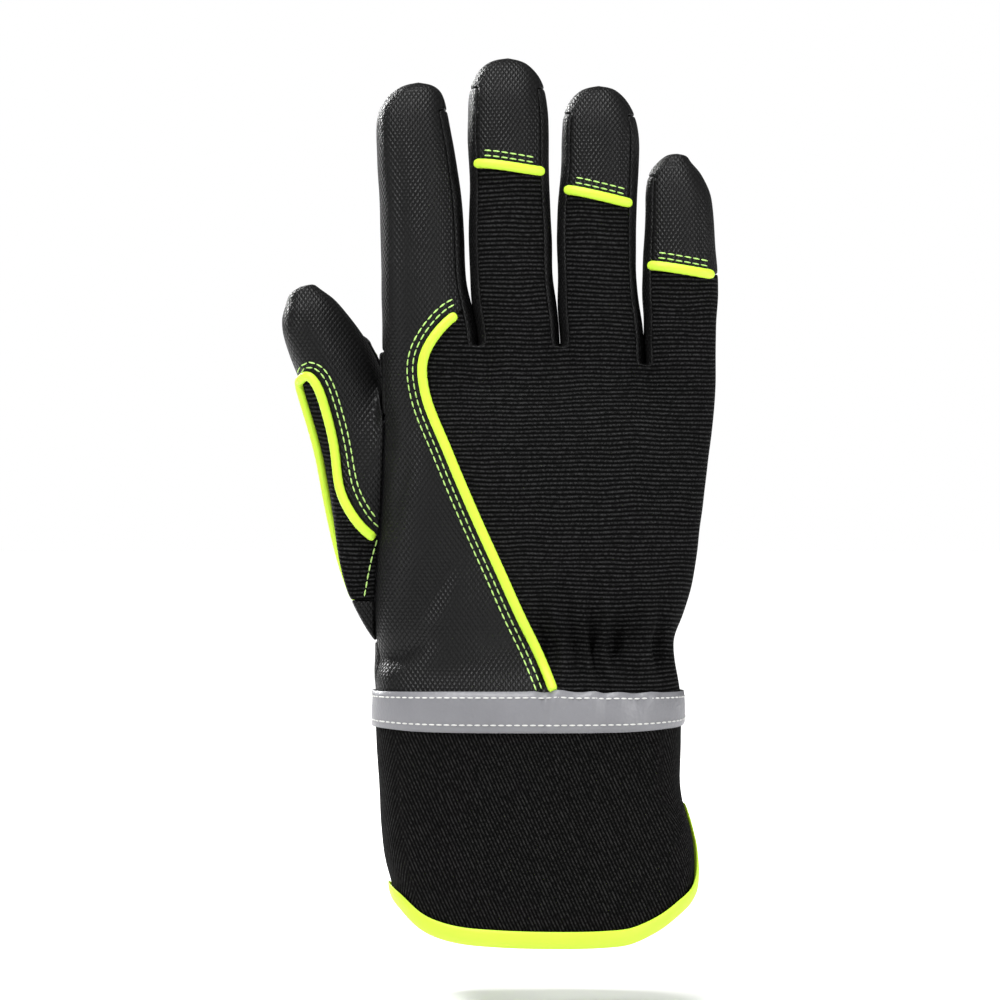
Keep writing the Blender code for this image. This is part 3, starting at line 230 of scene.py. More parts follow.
# Hem: direction round the cuff in degrees from the little finger's side over the palm, and the
# hem's height as a share of the cuff's length
HEM_LINE = (
    (-180, 0.190), (-160, 0.140), (-140, 0.050), (-115, 0.005), (-60, 0.000), (-42, 0.050),
    (-28, 0.115), (-12, 0.190), (-3, 0.280), (8, 0.490), (28, 0.480), (40, 0.250), (52, 0.110),
    (70, 0.040), (90, 0.015), (120, 0.050), (160, 0.140), (180, 0.190),
)
# Thumb, from where it leaves the hand: length share, sideways shift and width as shares of its
# width, and depth share
THUMB_SHAPE = (
    (0.00, 0.00, 1.00, 1.00),
    (0.25, 0.00, 0.98, 0.97),
    (0.45, -0.03, 0.95, 0.93),
    (0.64, -0.06, 0.86, 0.86),
    (0.80, -0.07, 0.70, 0.72),
    (0.92, -0.06, 0.47, 0.50),
    (1.00, -0.05, 0.32, 0.34),
)
THUMB_LEAN = math.radians(21)
# How the leather leaves the palm for the thumb: outward flare, lift on the palm side and rise,
# and how far the palm's and the thumb's directions carry into the bend, as shares of its span
THUMB_FLARE = 0.16
THUMB_LIFT = 0.55
THUMB_RISE = (-0.44, 0.0, 0.76)
PALM_CARRY = 0.38
THUMB_CARRY = 0.36
SETTLE_ROUNDS = 60
SETTLE_SHARE = 0.5
# Middle of the thumb where it leaves the hand: shares of the knuckle width, palm depth, length
THUMB_ROOT = (-0.549, 0.30, 0.875)
THUMB_START = (
    THUMB_ROOT[0] * KNUCKLE_WIDTH,
    THUMB_ROOT[1] * PALM_DEPTH,
    CUFF_LENGTH + THUMB_ROOT[2] * PALM_LENGTH,
)
# Seam of the thumb in the palm, from the thumb crotch round to the cuff side: shares of the
# knuckle width across and of the palm's length up
THUMB_SEAM = (
    (-0.405, 0.862), (-0.330, 0.765), (-0.278, 0.678), (-0.207, 0.589), (-0.162, 0.513),
    (-0.152, 0.433), (-0.155, 0.353), (-0.182, 0.272), (-0.230, 0.212), (-0.280, 0.183),
    (-0.345, 0.165), (-0.420, 0.175),
)
# Rolled piping over the back, from the index crotch to the band
BACK_LINE = (
    (-0.183, 1.085), (-0.204, 1.093), (-0.233, 1.073), (-0.263, 1.046), (-0.304, 0.988),
    (-0.317, 0.941), (-0.313, 0.900), (-0.300, 0.839), (-0.249, 0.729), (-0.207, 0.633),
    (-0.142, 0.493), (-0.088, 0.383), (-0.036, 0.273), (0.021, 0.163), (0.068, 0.054),
    (0.095, -0.020),
)
# Knit insert in the thumb's back: its inner line, from the apex down to the hand's edge
THUMB_INSERT = (
    (-0.720, 0.860), (-0.680, 0.905), (-0.648, 0.922), (-0.621, 0.888), (-0.594, 0.804),
    (-0.570, 0.716), (-0.556, 0.625), (-0.523, 0.551), (-0.470, 0.485), (-0.400, 0.455),
)
THUMB_INSERT_FOOT = 0.300
THUMB_PIPING_FOOT = 0.312
THUMB_INSERT_TURN = 2
SADDLE_OUTLINE = (
    (-0.560, 1.060), (-0.405, 1.058), (-0.387, 1.145), (-0.348, 1.208), (-0.298, 1.230),
    (-0.246, 1.218), (-0.210, 1.194), (-0.190, 1.140), (-0.204, 1.085), (-0.216, 1.028),
    (-0.196, 0.992), (-0.150, 0.993), (-0.110, 1.008), (-0.044, 1.050), (-0.012, 1.045),
    (0.012, 1.016), (0.036, 0.982), (0.071, 0.972), (0.131, 0.990), (0.200, 1.004),
    (0.263, 0.995), (0.304, 0.922), (0.343, 0.870), (0.435, 0.839), (0.640, 0.775),
    (0.640, 0.605), (0.547, 0.630), (0.345, 0.692), (0.112, 0.757), (-0.077, 0.800),
    (-0.219, 0.812), (-0.290, 0.830), (-0.330, 0.858), (-0.420, 0.905), (-0.560, 0.960),
)
HEEL_OUTLINE = (
    (-0.246, 0.700), (-0.219, 0.735), (-0.095, 0.741), (0.065, 0.710), (0.254, 0.658),
    (0.384, 0.592), (0.455, 0.553), (0.482, 0.485), (0.470, 0.362), (0.445, 0.245),
    (0.405, 0.141), (0.345, 0.097), (0.233, 0.075), (0.112, 0.075), (-0.012, 0.105),
    (-0.071, 0.141), (-0.095, 0.221), (-0.112, 0.308), (-0.122, 0.421), (-0.132, 0.502),
    (-0.160, 0.571),
)
# Patch on the thumb's palm side, from the thumb's root: shares of its width across, length up
THUMB_PATCH = (
    (-0.07, 0.56), (-0.30, 0.30), (-0.375, 0.10), (-0.25, -0.25), (-0.065, -0.70), (0.08, -0.91),
    (0.21, -0.98), (0.34, -0.91), (0.51, -0.57), (0.66, -0.09), (0.60, 0.16), (0.26, 0.46),
)

def finer(rows):
    """A tuple of row shares with more rows between each two."""
    made = []
    for low, high in zip(rows, rows[1:]):
        made += [low + (high - low) * k / FINER for k in range(FINER)]
    return tuple(made) + rows[-1:]


def finer_from(start, rows):
    return finer((start,) + rows)[1:]


CUFF_ROWS = finer((0.0, 0.22, 0.46, 0.69, 1 - BAND_HEIGHT / (2 * CUFF_LENGTH), 1.0))
HAND_KEYS = (0.12, 0.19, 0.26, 0.34, 0.42, 0.50, 0.58, 0.66, 0.74, 0.82, 0.90, 0.95, 1.0)
HAND_ROWS = finer_from(0.0, (BAND_HEIGHT / (2 * PALM_LENGTH),) + HAND_KEYS)
THUMB_HOLE_ROWS = (0.19, 0.82)
ROOT_ROWS = 6 * FINER
THUMB_ROWS = finer_from(0.0, (0.22, 0.45, 0.64, 0.80, 0.92, 1.0))
TIP_ROWS = (0.80, 0.90, 0.96, 1.0)
ROWS_BELOW_SEAM = 4
KNIT_ROWS_ON_INDEX = 2

PANELS = (
    "cuff",
    "palm_panel",
    "back_panel",
    "index_panel",
    "middle_tip",
    "ring_tip",
    "little_tip",
    "fourchette_index_middle",
    "fourchette_middle_ring",
    "fourchette_ring_little",
    "thumb_shell",
    "thumb_knit",
)
CUFF, PALM, BACK, INDEX, MIDDLE_TIP, RING_TIP, LITTLE_TIP = range(7)
FIRST_FOURCHETTE = 7
THUMB, THUMB_KNIT = 10, 11

# Unevenness of sewn cloth, the puckers at the elastic and the ripples over all
FOLD_SCALE = 38.0
FOLD_DEPTH = 0.0007
CREASE_FADE = 0.006
GATHER_PITCH = 0.0085
GATHER_REACH = 0.125
GATHER_LINE = 0.022
GATHER_SWELL = 0.0033
GATHER_TIGHT = 0.0014
ELASTIC_EDGE = -0.02
GATHERS_END = 0.44
GATHER_EASES = (0.10, 0.08)
GATHER_DRIFT = 0.7
GATHER_UNEVEN = 0.8
SHORTEST_GATHER = 0.4
DRIFT_SCALES = (60, 45)
UNEVEN_SCALE = 90
RIPPLE_SCALE = 120.0
RIPPLE_DEPTH = 0.00022
# Seams, patches and the lining; a panel's own leather or knit takes SEWN_WALL of the wall
SEAM_ROLL = 0.0006
SEAM_DROP = 0.0003
PATCH_ROLL = 0.0006
PATCH_DROP = 0.0007
PATCH_WALL = 0.0009
LINING_DEPTH = 0.0020
LINING_ROOM = 0.75
LINING_WALL = 0.0008
SEWN_WALL = 0.38
PATCH_FLAT = 0.0050
PATCH_SEWN = 0.75
HEEL_SEWN = 0.8
HEEL_FLAT = 0.6
# Piping and binding, each drawn in at every stitch
PIPING_STEP = 0.00065
PIPING_PULL = 0.05
PIPING_SIDES = 12
PIPING_LIFT = 0.75
PIPING_BREADTH = 1.12
PIPING_END = 0.7
PIPING_END_STEPS = 2
BACK_PIPING_TRIM = 6
PIPING_LEAN = 0.0011
PIPING_PLUMP = 1.18
PIPING_LEAN_HEIGHTS = (0.75, 0.55)
BINDING_PULL = 0.00012
BINDING_COLUMNS_A_PULL = 2
# Thread
STITCH_PITCH = 0.0026
STITCH_ROWS = (0.0009, 0.0026)
THREAD_RADIUS = 0.00026
THREAD_LIFT = 0.35
STITCH_LINE_STEP = 0.001
STITCH_REACH = 0.35
SHORTEST_STITCH = 0.3
LONGEST_STITCH = 2.2
BAND_STITCH_ROWS = (0.20, 0.86)
BAND_STITCH_PITCH = 0.0024
BAND_STITCH_LENGTH = 1.6
BAND_THREAD_LIFT = 0.4
LENGTHWISE = Matrix.Rotation(math.radians(90), 4, "Y")
THREAD_FOOT_Z = CUFF_LENGTH + 0.465 * PALM_LENGTH
# Rows of thread beside each piping: the piece they lie on and offsets to the line's left
PIPING_ROWS = {
    "back": ("index_panel", (-0.0030, -0.0047)),
    "thumb": ("thumb_shell", (-0.0028, -0.0044)),
    "middle": ("middle_tip", (0.0026, 0.0042)),
    "ring": ("ring_tip", (0.0026, 0.0042)),
    "little": ("little_tip", (0.0026, 0.0042)),
}
# Lines of thread that follow no patch edge: shares of the knuckle width and the palm's length
PAD_CHANNEL = (
    (-0.091, 0.718), (-0.068, 0.520), (-0.038, 0.300), (0.000, 0.116),
)
THUMB_DART = (
    (-0.233, 0.487), (-0.204, 0.410), (-0.180, 0.335),
)
HAND_EDGE = (
    (-0.452, 0.463), (-0.470, 0.400), (-0.490, 0.300),
)
# Folds: place as shares of the knuckle width and the palm's length, direction in degrees, half
# length and half breadth as shares of the palm's length, depth in walls, and side (back -1)
FOLDS = (
    (-0.40, 0.160, 20, 0.10, 0.030, 0.95, -1),
    (-0.30, 0.300, 60, 0.16, 0.035, 0.55, -1),
    (-0.38, 0.620, 80, 0.14, 0.025, 0.30, -1),
    (-0.42, 0.780, 95, 0.10, 0.022, 0.35, -1),
    (0.30, 0.080, 85, 0.05, 0.020, 0.30, -1),
    (-0.20, 1.020, 55, 0.10, 0.020, 0.35, 1),
    (0.13, 1.050, 62, 0.10, 0.020, 0.32, 1),
    (0.36, 0.980, 48, 0.10, 0.020, 0.35, 1),
    (-0.27, 0.620, 66, 0.14, 0.018, 0.35, 1),
    (-0.34, 0.660, 60, 0.14, 0.020, 0.28, 1),
    (-0.24, 0.480, 78, 0.12, 0.014, 0.30, 1),
    (-0.11, 0.450, 82, 0.15, 0.020, 0.32, 1),
    (0.02, 0.780, -9, 0.24, 0.020, 0.28, 1),
    (-0.36, 1.260, 10, 0.08, 0.016, 0.22, 1),
    (-0.08, 1.330, -8, 0.08, 0.016, 0.22, 1),
    (0.20, 1.280, 6, 0.08, 0.016, 0.22, 1),
)

# Fabric patterns: pitches, sways and depths
EMBOSS_PITCH = 0.0015
EMBOSS_LEAN = 0.7
EMBOSS_WOBBLE = 0.0016
EMBOSS_DEPTH = 0.00016
RIB_PITCH = 0.00132
LOOP_PITCH = 0.0008
RIB_SWAY = 0.0045
RIB_DEPTH = 0.00038
TWILL_PITCH = 0.0011
TWILL_SLOPE = 0.46
TWILL_SWAY = 0.0005
TWILL_DEPTH = 0.00020
PICK_PITCH = 0.0009
GRAIN_SCALE = 900.0
# A pattern turns to the next side where a fabric's normal passes this share, this steeply
TURN_STARTS = 0.66
TURN_STEEPNESS = 8.0
LEATHER_COLOURS = ((0.0042, 0.0042, 0.0043, 1), (0.0088, 0.0088, 0.0089, 1))
# Near black painted into the emboss's grooves: painted shade, over the leather's bump
LEATHER_GROOVE_SHADE = (0.0002, 0.0002, 0.0002, 1)
# Colours of the furrows, the ridges and the fibres; the furrows' near black is painted shade between the
# ridges
FURROW_SHADE = (0.0001, 0.0001, 0.0001, 1)
KNIT_COLOURS = (FURROW_SHADE, (0.0230, 0.0230, 0.0234, 1), (0.0008, 0.0008, 0.0008, 1))
TWILL_COLOURS = (FURROW_SHADE, (0.0180, 0.0176, 0.0172, 1), (0.0006, 0.0006, 0.0006, 1))
# Plain fabrics: a darker and a paler shade, roughness, depth of grain and strength of painted emission,
# light the fabric gives off though it is no lamp
PLAIN_FABRICS = {
    "bright_piping": ((0.345, 0.530, 0.022, 1), (0.385, 0.580, 0.034, 1), 0.5, 0.00006, 0.12),
    "pale_green_thread": ((0.260, 0.440, 0.095, 1), (0.360, 0.540, 0.170, 1), 0.6, 0.00006, 0.04),
    "white_thread": ((0.36, 0.36, 0.35, 1), (0.48, 0.48, 0.46, 1), 0.6, 0.00008, 0.0),
    "reflective_tape": ((0.100, 0.100, 0.108, 1), (0.160, 0.160, 0.170, 1), 0.38, 0.00008, 0.0),
    "brushed_lining": ((0.010, 0.010, 0.011, 1), (0.022, 0.022, 0.024, 1), 0.95, 0.0003, 0.0),
}

# Camera and studio
SENSOR = 36.0
CAMERA_DISTANCE = 1.4
FRAME_WIDTH = 0.308
CAMERA_X = -0.0092
CAMERA_Z = 0.134
AMBIENT = 0.14
SUN_STRENGTH = 3.6
SUN_SPREAD = math.radians(25)
SUN_TURN = (math.radians(6), math.radians(-6), 0)
FLOOR_SIZE = 12.0
FLOOR_Z = -0.0200
FLOOR_COLOURS = ((0.94, 0.94, 0.94, 1), (0.96, 0.96, 0.96, 1))
LIGHTS = (
    ("key light", (-0.9, -1.1, 1.4), (0, 0, 0.14), (0.45, 0.45), 38.0),
    ("side light", (1.4, -0.7, 0.5), (0, 0, 0.14), (0.3, 0.9), 20.0),
    ("palm light", (-1.0, 1.5, 0.9), (0, 0, 0.14), (0.5, 0.5), 36.0),
)


def smooth_step(low, high, value):
    share = min(max((value - low) / (high - low), 0.0), 1.0)
    return share * share * (3 - 2 * share)


def read_table(rows, at, column):
    """One column of a table at a share, drawn smoothly between its rows."""
    if at <= rows[0][0]:
        return rows[0][column]
    for k in range(len(rows) - 1):
        if at <= rows[k + 1][0]:
            before = rows[max(k - 1, 0)]
            after = rows[min(k + 2, len(rows) - 1)]
            start, end = rows[k], rows[k + 1]
            span = end[0] - start[0]
            share = (at - start[0]) / span
            slope_in = (end[column] - before[column]) / max(end[0] - before[0], 1e-9) * span
            slope_out = (after[column] - start[column]) / max(after[0] - start[0], 1e-9) * span
            square, cube = share * share, share * share * share
            return (
                (2 * cube - 3 * square + 1) * start[column]
                + (cube - 2 * square + share) * slope_in
                + (3 * square - 2 * cube) * end[column]
                + (cube - square) * slope_out
            )
    return rows[-1][column]


def smooth_line(points, steps, closed=False):
    """A smooth curve through a few points, as a list of 2-D points."""
    count = len(points)
    spans = count if closed else count - 1
    line = []
    for k in range(spans):
        picks = [k - 1, k, k + 1, k + 2]
        picks = [p % count if closed else min(max(p, 0), count - 1) for p in picks]
        a, b, c, d = (Vector(points[p]) for p in picks)
        for step in range(steps):
            t = step / steps
            line.append(
                0.5 * (2 * b + (c - a) * t + (2 * a - 5 * b + 4 * c - d) * t * t
                       + (3 * b - a - 3 * c + d) * t * t * t)
            )
    if not closed:
        line.append(Vector(points[-1]))
    return line


def squared(angle, power):
    """A point of a unit superellipse."""
    c, s = math.cos(angle), math.sin(angle)
    return math.copysign(abs(c) ** (2 / power), c), math.copysign(abs(s) ** (2 / power), s)


def line_x(line, z):
    """Where one of the lines between the fingers stands at a height."""
    share = (z - CROTCH_Z) / MIDDLE_LENGTH
    base = THUMB_SIDE_X + sum(FINGER_WIDTHS[:line])
    return base + read_table(LINE_LEAN, share, line + 1) * KNUCKLE_WIDTH


def finger_point(finger, angle, share):
    """A point on a finger: angle round it from the little side over the palm, share of its length."""
    name = FINGER_NAMES[finger]
    cross = (math.cos(angle) + 1) / 2
    root = LINE_ROOT[finger] + (LINE_ROOT[finger + 1] - LINE_ROOT[finger]) * cross
    root_z = CUFF_LENGTH + PALM_LENGTH * root
    tip_z = CROTCH_Z + FINGER_LENGTHS[finger]
    z = root_z + (tip_z - root_z) * share
    seam, fall = TIP_SEAM[name]
    width = FINGER_WIDTHS[finger]
    near_seam = 1 - smooth_step(0.0, SEAM_REACH, abs(share - seam))
    if math.sin(angle) < 0:
        z -= fall * width * math.cos(angle) * near_seam * -math.sin(angle)
    rows = FINGER_SHAPES[name]
    gap = FINGER_GAP * (GAP_OPENS * smooth_step(*FINGERS_TOUCH, share) - GAP_OVERLAP)
    gap_left = gap / 2 if finger > 0 else 0.0
    gap_right = gap / 2 if finger < 3 else 0.0
    left = line_x(finger, z) + gap_left + read_table(rows, share, 1) * width
    right = line_x(finger + 1, z) - gap_right - read_table(rows, share, 2) * width
    across, deep = squared(angle, FINGER_SQUARENESS)
    depth = read_table(rows, share, 3) * FINGER_DEPTH / 2
    x = (left + right) / 2 + (right - left) / 2 * across
    y = FINGER_CURL * share * share + depth * deep
    return Vector((x, y, z))


def hand_section(z):
    """Edges, depths and squareness of the hand or the cuff at a height."""
    if z >= CUFF_LENGTH:
        share = (z - CUFF_LENGTH) / PALM_LENGTH
        left, right, back, palm, power = (read_table(HAND_SHAPE, share, c) for c in range(1, 6))
        seam = 1 - smooth_step(0.0, CUFF_CARRY, share)
        left, right = left * KNUCKLE_WIDTH, right * KNUCKLE_WIDTH
        cuff_left, cuff_right, depth, _ = (CUFF_SHAPE[-1][c] for c in range(1, 5))
        left += (cuff_left * CUFF_WIDTH - left) * seam
        right += (cuff_right * CUFF_WIDTH - right) * seam
        back, palm = back * PALM_DEPTH, palm * PALM_DEPTH
        back += (depth * CUFF_DEPTH / 2 - back) * seam
        palm += (depth * CUFF_DEPTH / 2 - palm) * seam
        return left, right, back, palm, power
    share = z / CUFF_LENGTH
    left, right, depth, power = (read_table(CUFF_SHAPE, share, c) for c in range(1, 5))
    depth *= CUFF_DEPTH / 2
    return left * CUFF_WIDTH, right * CUFF_WIDTH, depth, depth, power


def pinch(z):
    """How hard the elastic draws the back in at a height, from 0 to 1."""
    return math.exp(-(((z - CUFF_LENGTH) / PALM_LENGTH - ELASTIC_HEIGHT) / ELASTIC_SPREAD) ** 2)


def hand_point(angle, z):
    """A point on the hand or cuff: angle from the little side over the palm."""
    left, right, back, palm, power = hand_section(z)
    across, deep = squared(angle, power)
    x = (left + right) / 2 + (right - left) / 2 * across
    y = deep * (palm if deep > 0 else back)
    if deep < 0 and across > ELASTIC_START:
        y -= pinch(z) * deep * ELASTIC_PINCH * min(1.0, (across - ELASTIC_START) * ELASTIC_ONSET)
    return Vector((x, y, z))


def palm_depth_at(x, z):
    """How far the palm's surface stands out at a point across and up."""
    left, right, _, palm, power = hand_section(z)
    across = min(abs((x - (left + right) / 2) / ((right - left) / 2)), 1.0)
    return palm * (1 - across**power) ** (1 / power)


def extrude_ring(bm, ring, closed=True):
    """Extrudes a chain of vertices by one row and returns the new chain in the same order."""
    pairs = list(zip(ring, ring[1:] + ring[:1] if closed else ring[1:]))
    edges = [bm.edges.get(pair) for pair in pairs]
    made = bmesh.ops.extrude_edge_only(bm, edges=edges)["geom"]
    new = {item for item in made if isinstance(item, bmesh.types.BMVert)}
    return [next(e.other_vert(v) for e in v.link_edges if e.other_vert(v) in new) for v in ring]


def close_ring(bm, ring):
    """Closes a ring of vertices with one face."""
    edges = [bm.edges.get(pair) for pair in zip(ring, ring[1:] + ring[:1])]
    return bmesh.ops.contextual_create(bm, geom=edges)["faces"][0]


def close_tip(bm, ring):
    """Closes a tip with a fan of faces and returns them with the vertex in their middle."""
    fan = bmesh.ops.poke(bm, faces=[close_ring(bm, ring)])["faces"]
    return fan, max(fan[0].verts, key=lambda v: len(v.link_edges))


def between(count, start, end):
    return [start + (end - start) * k / count for k in range(count)]


def ring_columns():
    """Columns round the hand in order: back from the thumb side, little side, palm, thumb side.

    Each holds its finger, its angle round that finger and, in a web, its share of the way over.
    """
    edge = EDGE_ANGLE
    columns = []
    for finger in range(4):
        for angle in between(FACE_COLUMNS, -math.pi + edge, -edge) + [-edge]:
            columns.append((finger, angle, 0.0))
        if finger < 3:
            columns += [(finger, -edge, k / WEB_COLUMNS) for k in range(1, WEB_COLUMNS)]
    columns += [(3, angle, 0.0) for angle in between(SIDE_COLUMNS, -edge, edge)[1:]]
    for finger in (3, 2, 1, 0):
        for angle in between(FACE_COLUMNS, edge, math.pi - edge) + [math.pi - edge]:
            columns.append((finger, angle, 0.0))
        if finger > 0:
            columns += [(finger, math.pi - edge, k / WEB_COLUMNS) for k in range(1, WEB_COLUMNS)]
    columns += [(0, angle, 0.0) for angle in between(SIDE_COLUMNS, math.pi - edge, math.pi + edge)[1:]]
    return columns


def crotch_point(column):
    """Where a column reaches the roots of the fingers, on a finger or in a web between two."""
    finger, angle, share = column
    here = finger_point(finger, angle, 0.0)
    if share == 0.0:
        return here
    step = 1 if angle < 0 else -1
    there = finger_point(finger + step, -math.pi - angle if angle < 0 else math.pi - angle, 0.0)
    return here.lerp(there, share)


def section_angle(point, power):
    """The superellipse angle whose column passes through a point at the crotch level."""
    left, right, _, _, _ = hand_section(CROTCH_Z)
    across = (point.x - (left + right) / 2) / ((right - left) / 2)
    across = min(max(across, -WIDEST_ACROSS), WIDEST_ACROSS)
    angle = math.acos(math.copysign(abs(across) ** (power / 2), across))
    return angle if point.y > 0 else -angle


def column_angles(columns):
    """One angle for each column all the way down the hand, spread evenly round the two sides."""
    angles = [section_angle(crotch_point(column), CROTCH_SQUARENESS) for column in columns]
    back = 4 * FACE_COLUMNS + 3 * WEB_COLUMNS
    little_palm = back + SIDE_COLUMNS
    thumb_palm = little_palm + back
    for k in range(1, SIDE_COLUMNS):
        share = k / SIDE_COLUMNS
        angles[back + k] = angles[back] + (angles[little_palm] - angles[back]) * share
        start, end = angles[thumb_palm], angles[0] + 2 * math.pi
        angles[thumb_palm + k] = start + (end - start) * share
    return angles


def hem_height(angle):
    """How high the hem stands at a direction round the cuff."""
    turn = math.degrees(angle)
    turn = turn - 360 if turn > 180 else turn
    return read_table(HEM_LINE, turn, 1) * CUFF_LENGTH


class Shell:
    """The glove's outer skin, its vertex rows and the panel that each face belongs to."""

    def __init__(self):
        self.bm = bmesh.new()
        self.columns = ring_columns()
        self.angles = column_angles(self.columns)
        self.panel = self.bm.faces.layers.int.new("panel")
        self.column = self.bm.faces.layers.int.new("column")
        self.picked = self.bm.faces.layers.int.new("picked")
        self.out = self.bm.verts.layers.float_vector.new("out")
        self.rows = []
        self.build_hand()
        self.build_webs()
        self.build_fingers()
        self.build_thumb()

    def grow(self, ring, places, panels):
        """Extrudes a ring to new places and gives each new face its panel and its column."""
        fresh = extrude_ring(self.bm, ring)
        for v, place in zip(fresh, places):
            v.co = place
        for k, panel in enumerate(panels):
            face = self.face_of(ring, fresh, k)
            face[self.panel] = panel
            face[self.column] = k
        return fresh

    def face_of(self, low, high, k):
        following = (k + 1) % len(low)
        edge = self.bm.edges.get((low[k], low[following]))
        return next(f for f in edge.link_faces if high[k] in f.verts)

    def build_hand(self):
        bm = self.bm
        made = bmesh.ops.create_circle(bm, cap_ends=False, segments=len(self.columns), radius=1.0)
        ring = made["verts"]
        for v, angle in zip(ring, self.angles):
            v.co = hand_point(angle, hem_height(angle))
        self.rows.append(ring)
        bound = [v.co.z + rise for v, rise in zip(ring, self.binding_rise(ring))]
        for share in CUFF_ROWS:
            heights = [low + (CUFF_LENGTH - low) * share for low in bound]
            ring = self.grow(ring, map(hand_point, self.angles, heights), [CUFF] * len(ring))
            self.rows.append(ring)
        back = 4 * FACE_COLUMNS + 3 * WEB_COLUMNS
        palm_end = 2 * back + SIDE_COLUMNS
        panels = [BACK] * (back + SIDE_COLUMNS) + [PALM] * (back + SIDE_COLUMNS - SIDE_BACK)
        panels += [BACK] * SIDE_BACK
        for share in HAND_ROWS:
            root = smooth_step(ROOTS_BEGIN, 1.0, share) ** ROOTS_EASE
            places = []
            for column, angle in zip(self.columns, self.angles):
                crotch = crotch_point(column)
                z = CUFF_LENGTH + (crotch.z - CUFF_LENGTH) * share
                crotch.z = z
                places.append(hand_point(angle, z).lerp(crotch, root))
            ring = self.grow(ring, places, panels)
            self.rows.append(ring)
        self.back_columns = back
        self.palm_end = palm_end

    def binding_rise(self, ring):
        """How far the binding reaches up from each point of the hem, square to the hem."""
        rises = []
        for k in range(len(ring)):
            before, after = ring[k - 1].co, ring[(k + 1) % len(ring)].co
            slope = abs(after.z - before.z) / math.hypot(after.x - before.x, after.y - before.y)
            rises.append(BINDING_HEIGHT * min(math.hypot(1, slope), BINDING_STRETCH))
        return rises

    def build_webs(self):
        """Folds the crotch over from the back to the palm between each two fingers."""
        bm, top = self.bm, self.rows[-1]
        step = FACE_COLUMNS + WEB_COLUMNS
        self.web_sides = {}
        for web in range(3):
            first = web * step + FACE_COLUMNS
            start = top[first:first + WEB_COLUMNS + 1]
            palm = self.back_columns + SIDE_COLUMNS + (3 - web) * step - WEB_COLUMNS
            end = [top[palm + WEB_COLUMNS - k] for k in range(WEB_COLUMNS + 1)]
            right, left = [start[0]], [start[-1]]
            chain = start
            for k in range(1, SIDE_COLUMNS + 1):
                fresh = extrude_ring(bm, chain, closed=False)
                turn = EDGE_ANGLE * (2 * k / SIDE_COLUMNS - 1)
                a = finger_point(web, turn, 0.0)
                b = finger_point(web + 1, math.pi - turn, 0.0)
                for j, v in enumerate(fresh):
                    v.co = a.lerp(b, j / WEB_COLUMNS)
                for j in range(WEB_COLUMNS):
                    edge = bm.edges.get((fresh[j], fresh[j + 1]))
                    edge.link_faces[0][self.panel] = FIRST_FOURCHETTE + web
                if k == SIDE_COLUMNS:
                    bmesh.ops.weld_verts(bm, targetmap=dict(zip(fresh, end)))
                    fresh = end
                chain = fresh
                right.append(fresh[0])
                left.append(fresh[-1])
            self.web_sides[web] = (right, left)

    def finger_loop(self, finger):
        """The finger's root, from its back over the little side and the palm to the thumb side."""
        top, step = self.rows[-1], FACE_COLUMNS + WEB_COLUMNS
        back = top[finger * step:finger * step + FACE_COLUMNS + 1]
        first_palm = self.back_columns + SIDE_COLUMNS + (3 - finger) * step
        palm = top[first_palm:first_palm + FACE_COLUMNS + 1]
        if finger < 3:
            right = self.web_sides[finger][0]
        else:
            right = top[self.back_columns:self.back_columns + SIDE_COLUMNS + 1]
        if finger > 0:
            left = self.web_sides[finger - 1][1][::-1]
        else:
            left = top[self.palm_end:] + top[:1]
        return back[:-1] + right[:-1] + palm[:-1] + left[:-1]

    def build_fingers(self):
        edge, bm = EDGE_ANGLE, self.bm
        angles = (
            between(FACE_COLUMNS, -math.pi + edge, -edge)
            + between(SIDE_COLUMNS, -edge, edge)
            + between(FACE_COLUMNS, edge, math.pi - edge)
            + between(SIDE_COLUMNS, math.pi - edge, math.pi + edge)
        )
        for finger, name in enumerate(FINGER_NAMES):
            seam = TIP_SEAM[name][0]
            keys = [seam * k / ROWS_BELOW_SEAM for k in range(1, ROWS_BELOW_SEAM + 1)]
            keys += [(seam + TIP_ROWS[0]) / 2, *TIP_ROWS]
            shares = finer_from(0.0, tuple(keys))
            ring = self.finger_loop(finger)
            for share in shares:
                places = [finger_point(finger, angle, share) for angle in angles]
                ring = self.grow(ring, places, self.finger_panels(finger, share, seam))
            fan, centre = close_tip(bm, ring)
            centre.co.z = max(v.co.z for v in ring) + TIP_CROWN * FINGER_LENGTHS[finger]
            for face in fan:
                pair = [v for v in face.verts if v is not centre]
                ks = sorted(ring.index(v) for v in pair)
                k = ks[1] if ks == [0, len(ring) - 1] else ks[0]
                face[self.panel] = self.finger_panels(finger, 1.0, seam)[k]

    def finger_panels(self, finger, share, seam):
        """Panels round one row of a finger, in the order of its columns."""
        above = share > seam + 1e-6
        capped = share > TIP_ROWS[1] + 1e-6
        above = above if finger > 0 else share > (KNIT_ROWS_ON_INDEX + 0.5) * seam / ROWS_BELOW_SEAM
        back = (INDEX, MIDDLE_TIP, RING_TIP, LITTLE_TIP)[finger] if above else BACK
        right = FIRST_FOURCHETTE + finger if finger < 3 and not capped else back
        left = FIRST_FOURCHETTE + finger - 1 if finger > 0 and not capped else back
        sides = [right] * SIDE_COLUMNS + [PALM] * FACE_COLUMNS + [left] * SIDE_COLUMNS
        return [back] * FACE_COLUMNS + sides

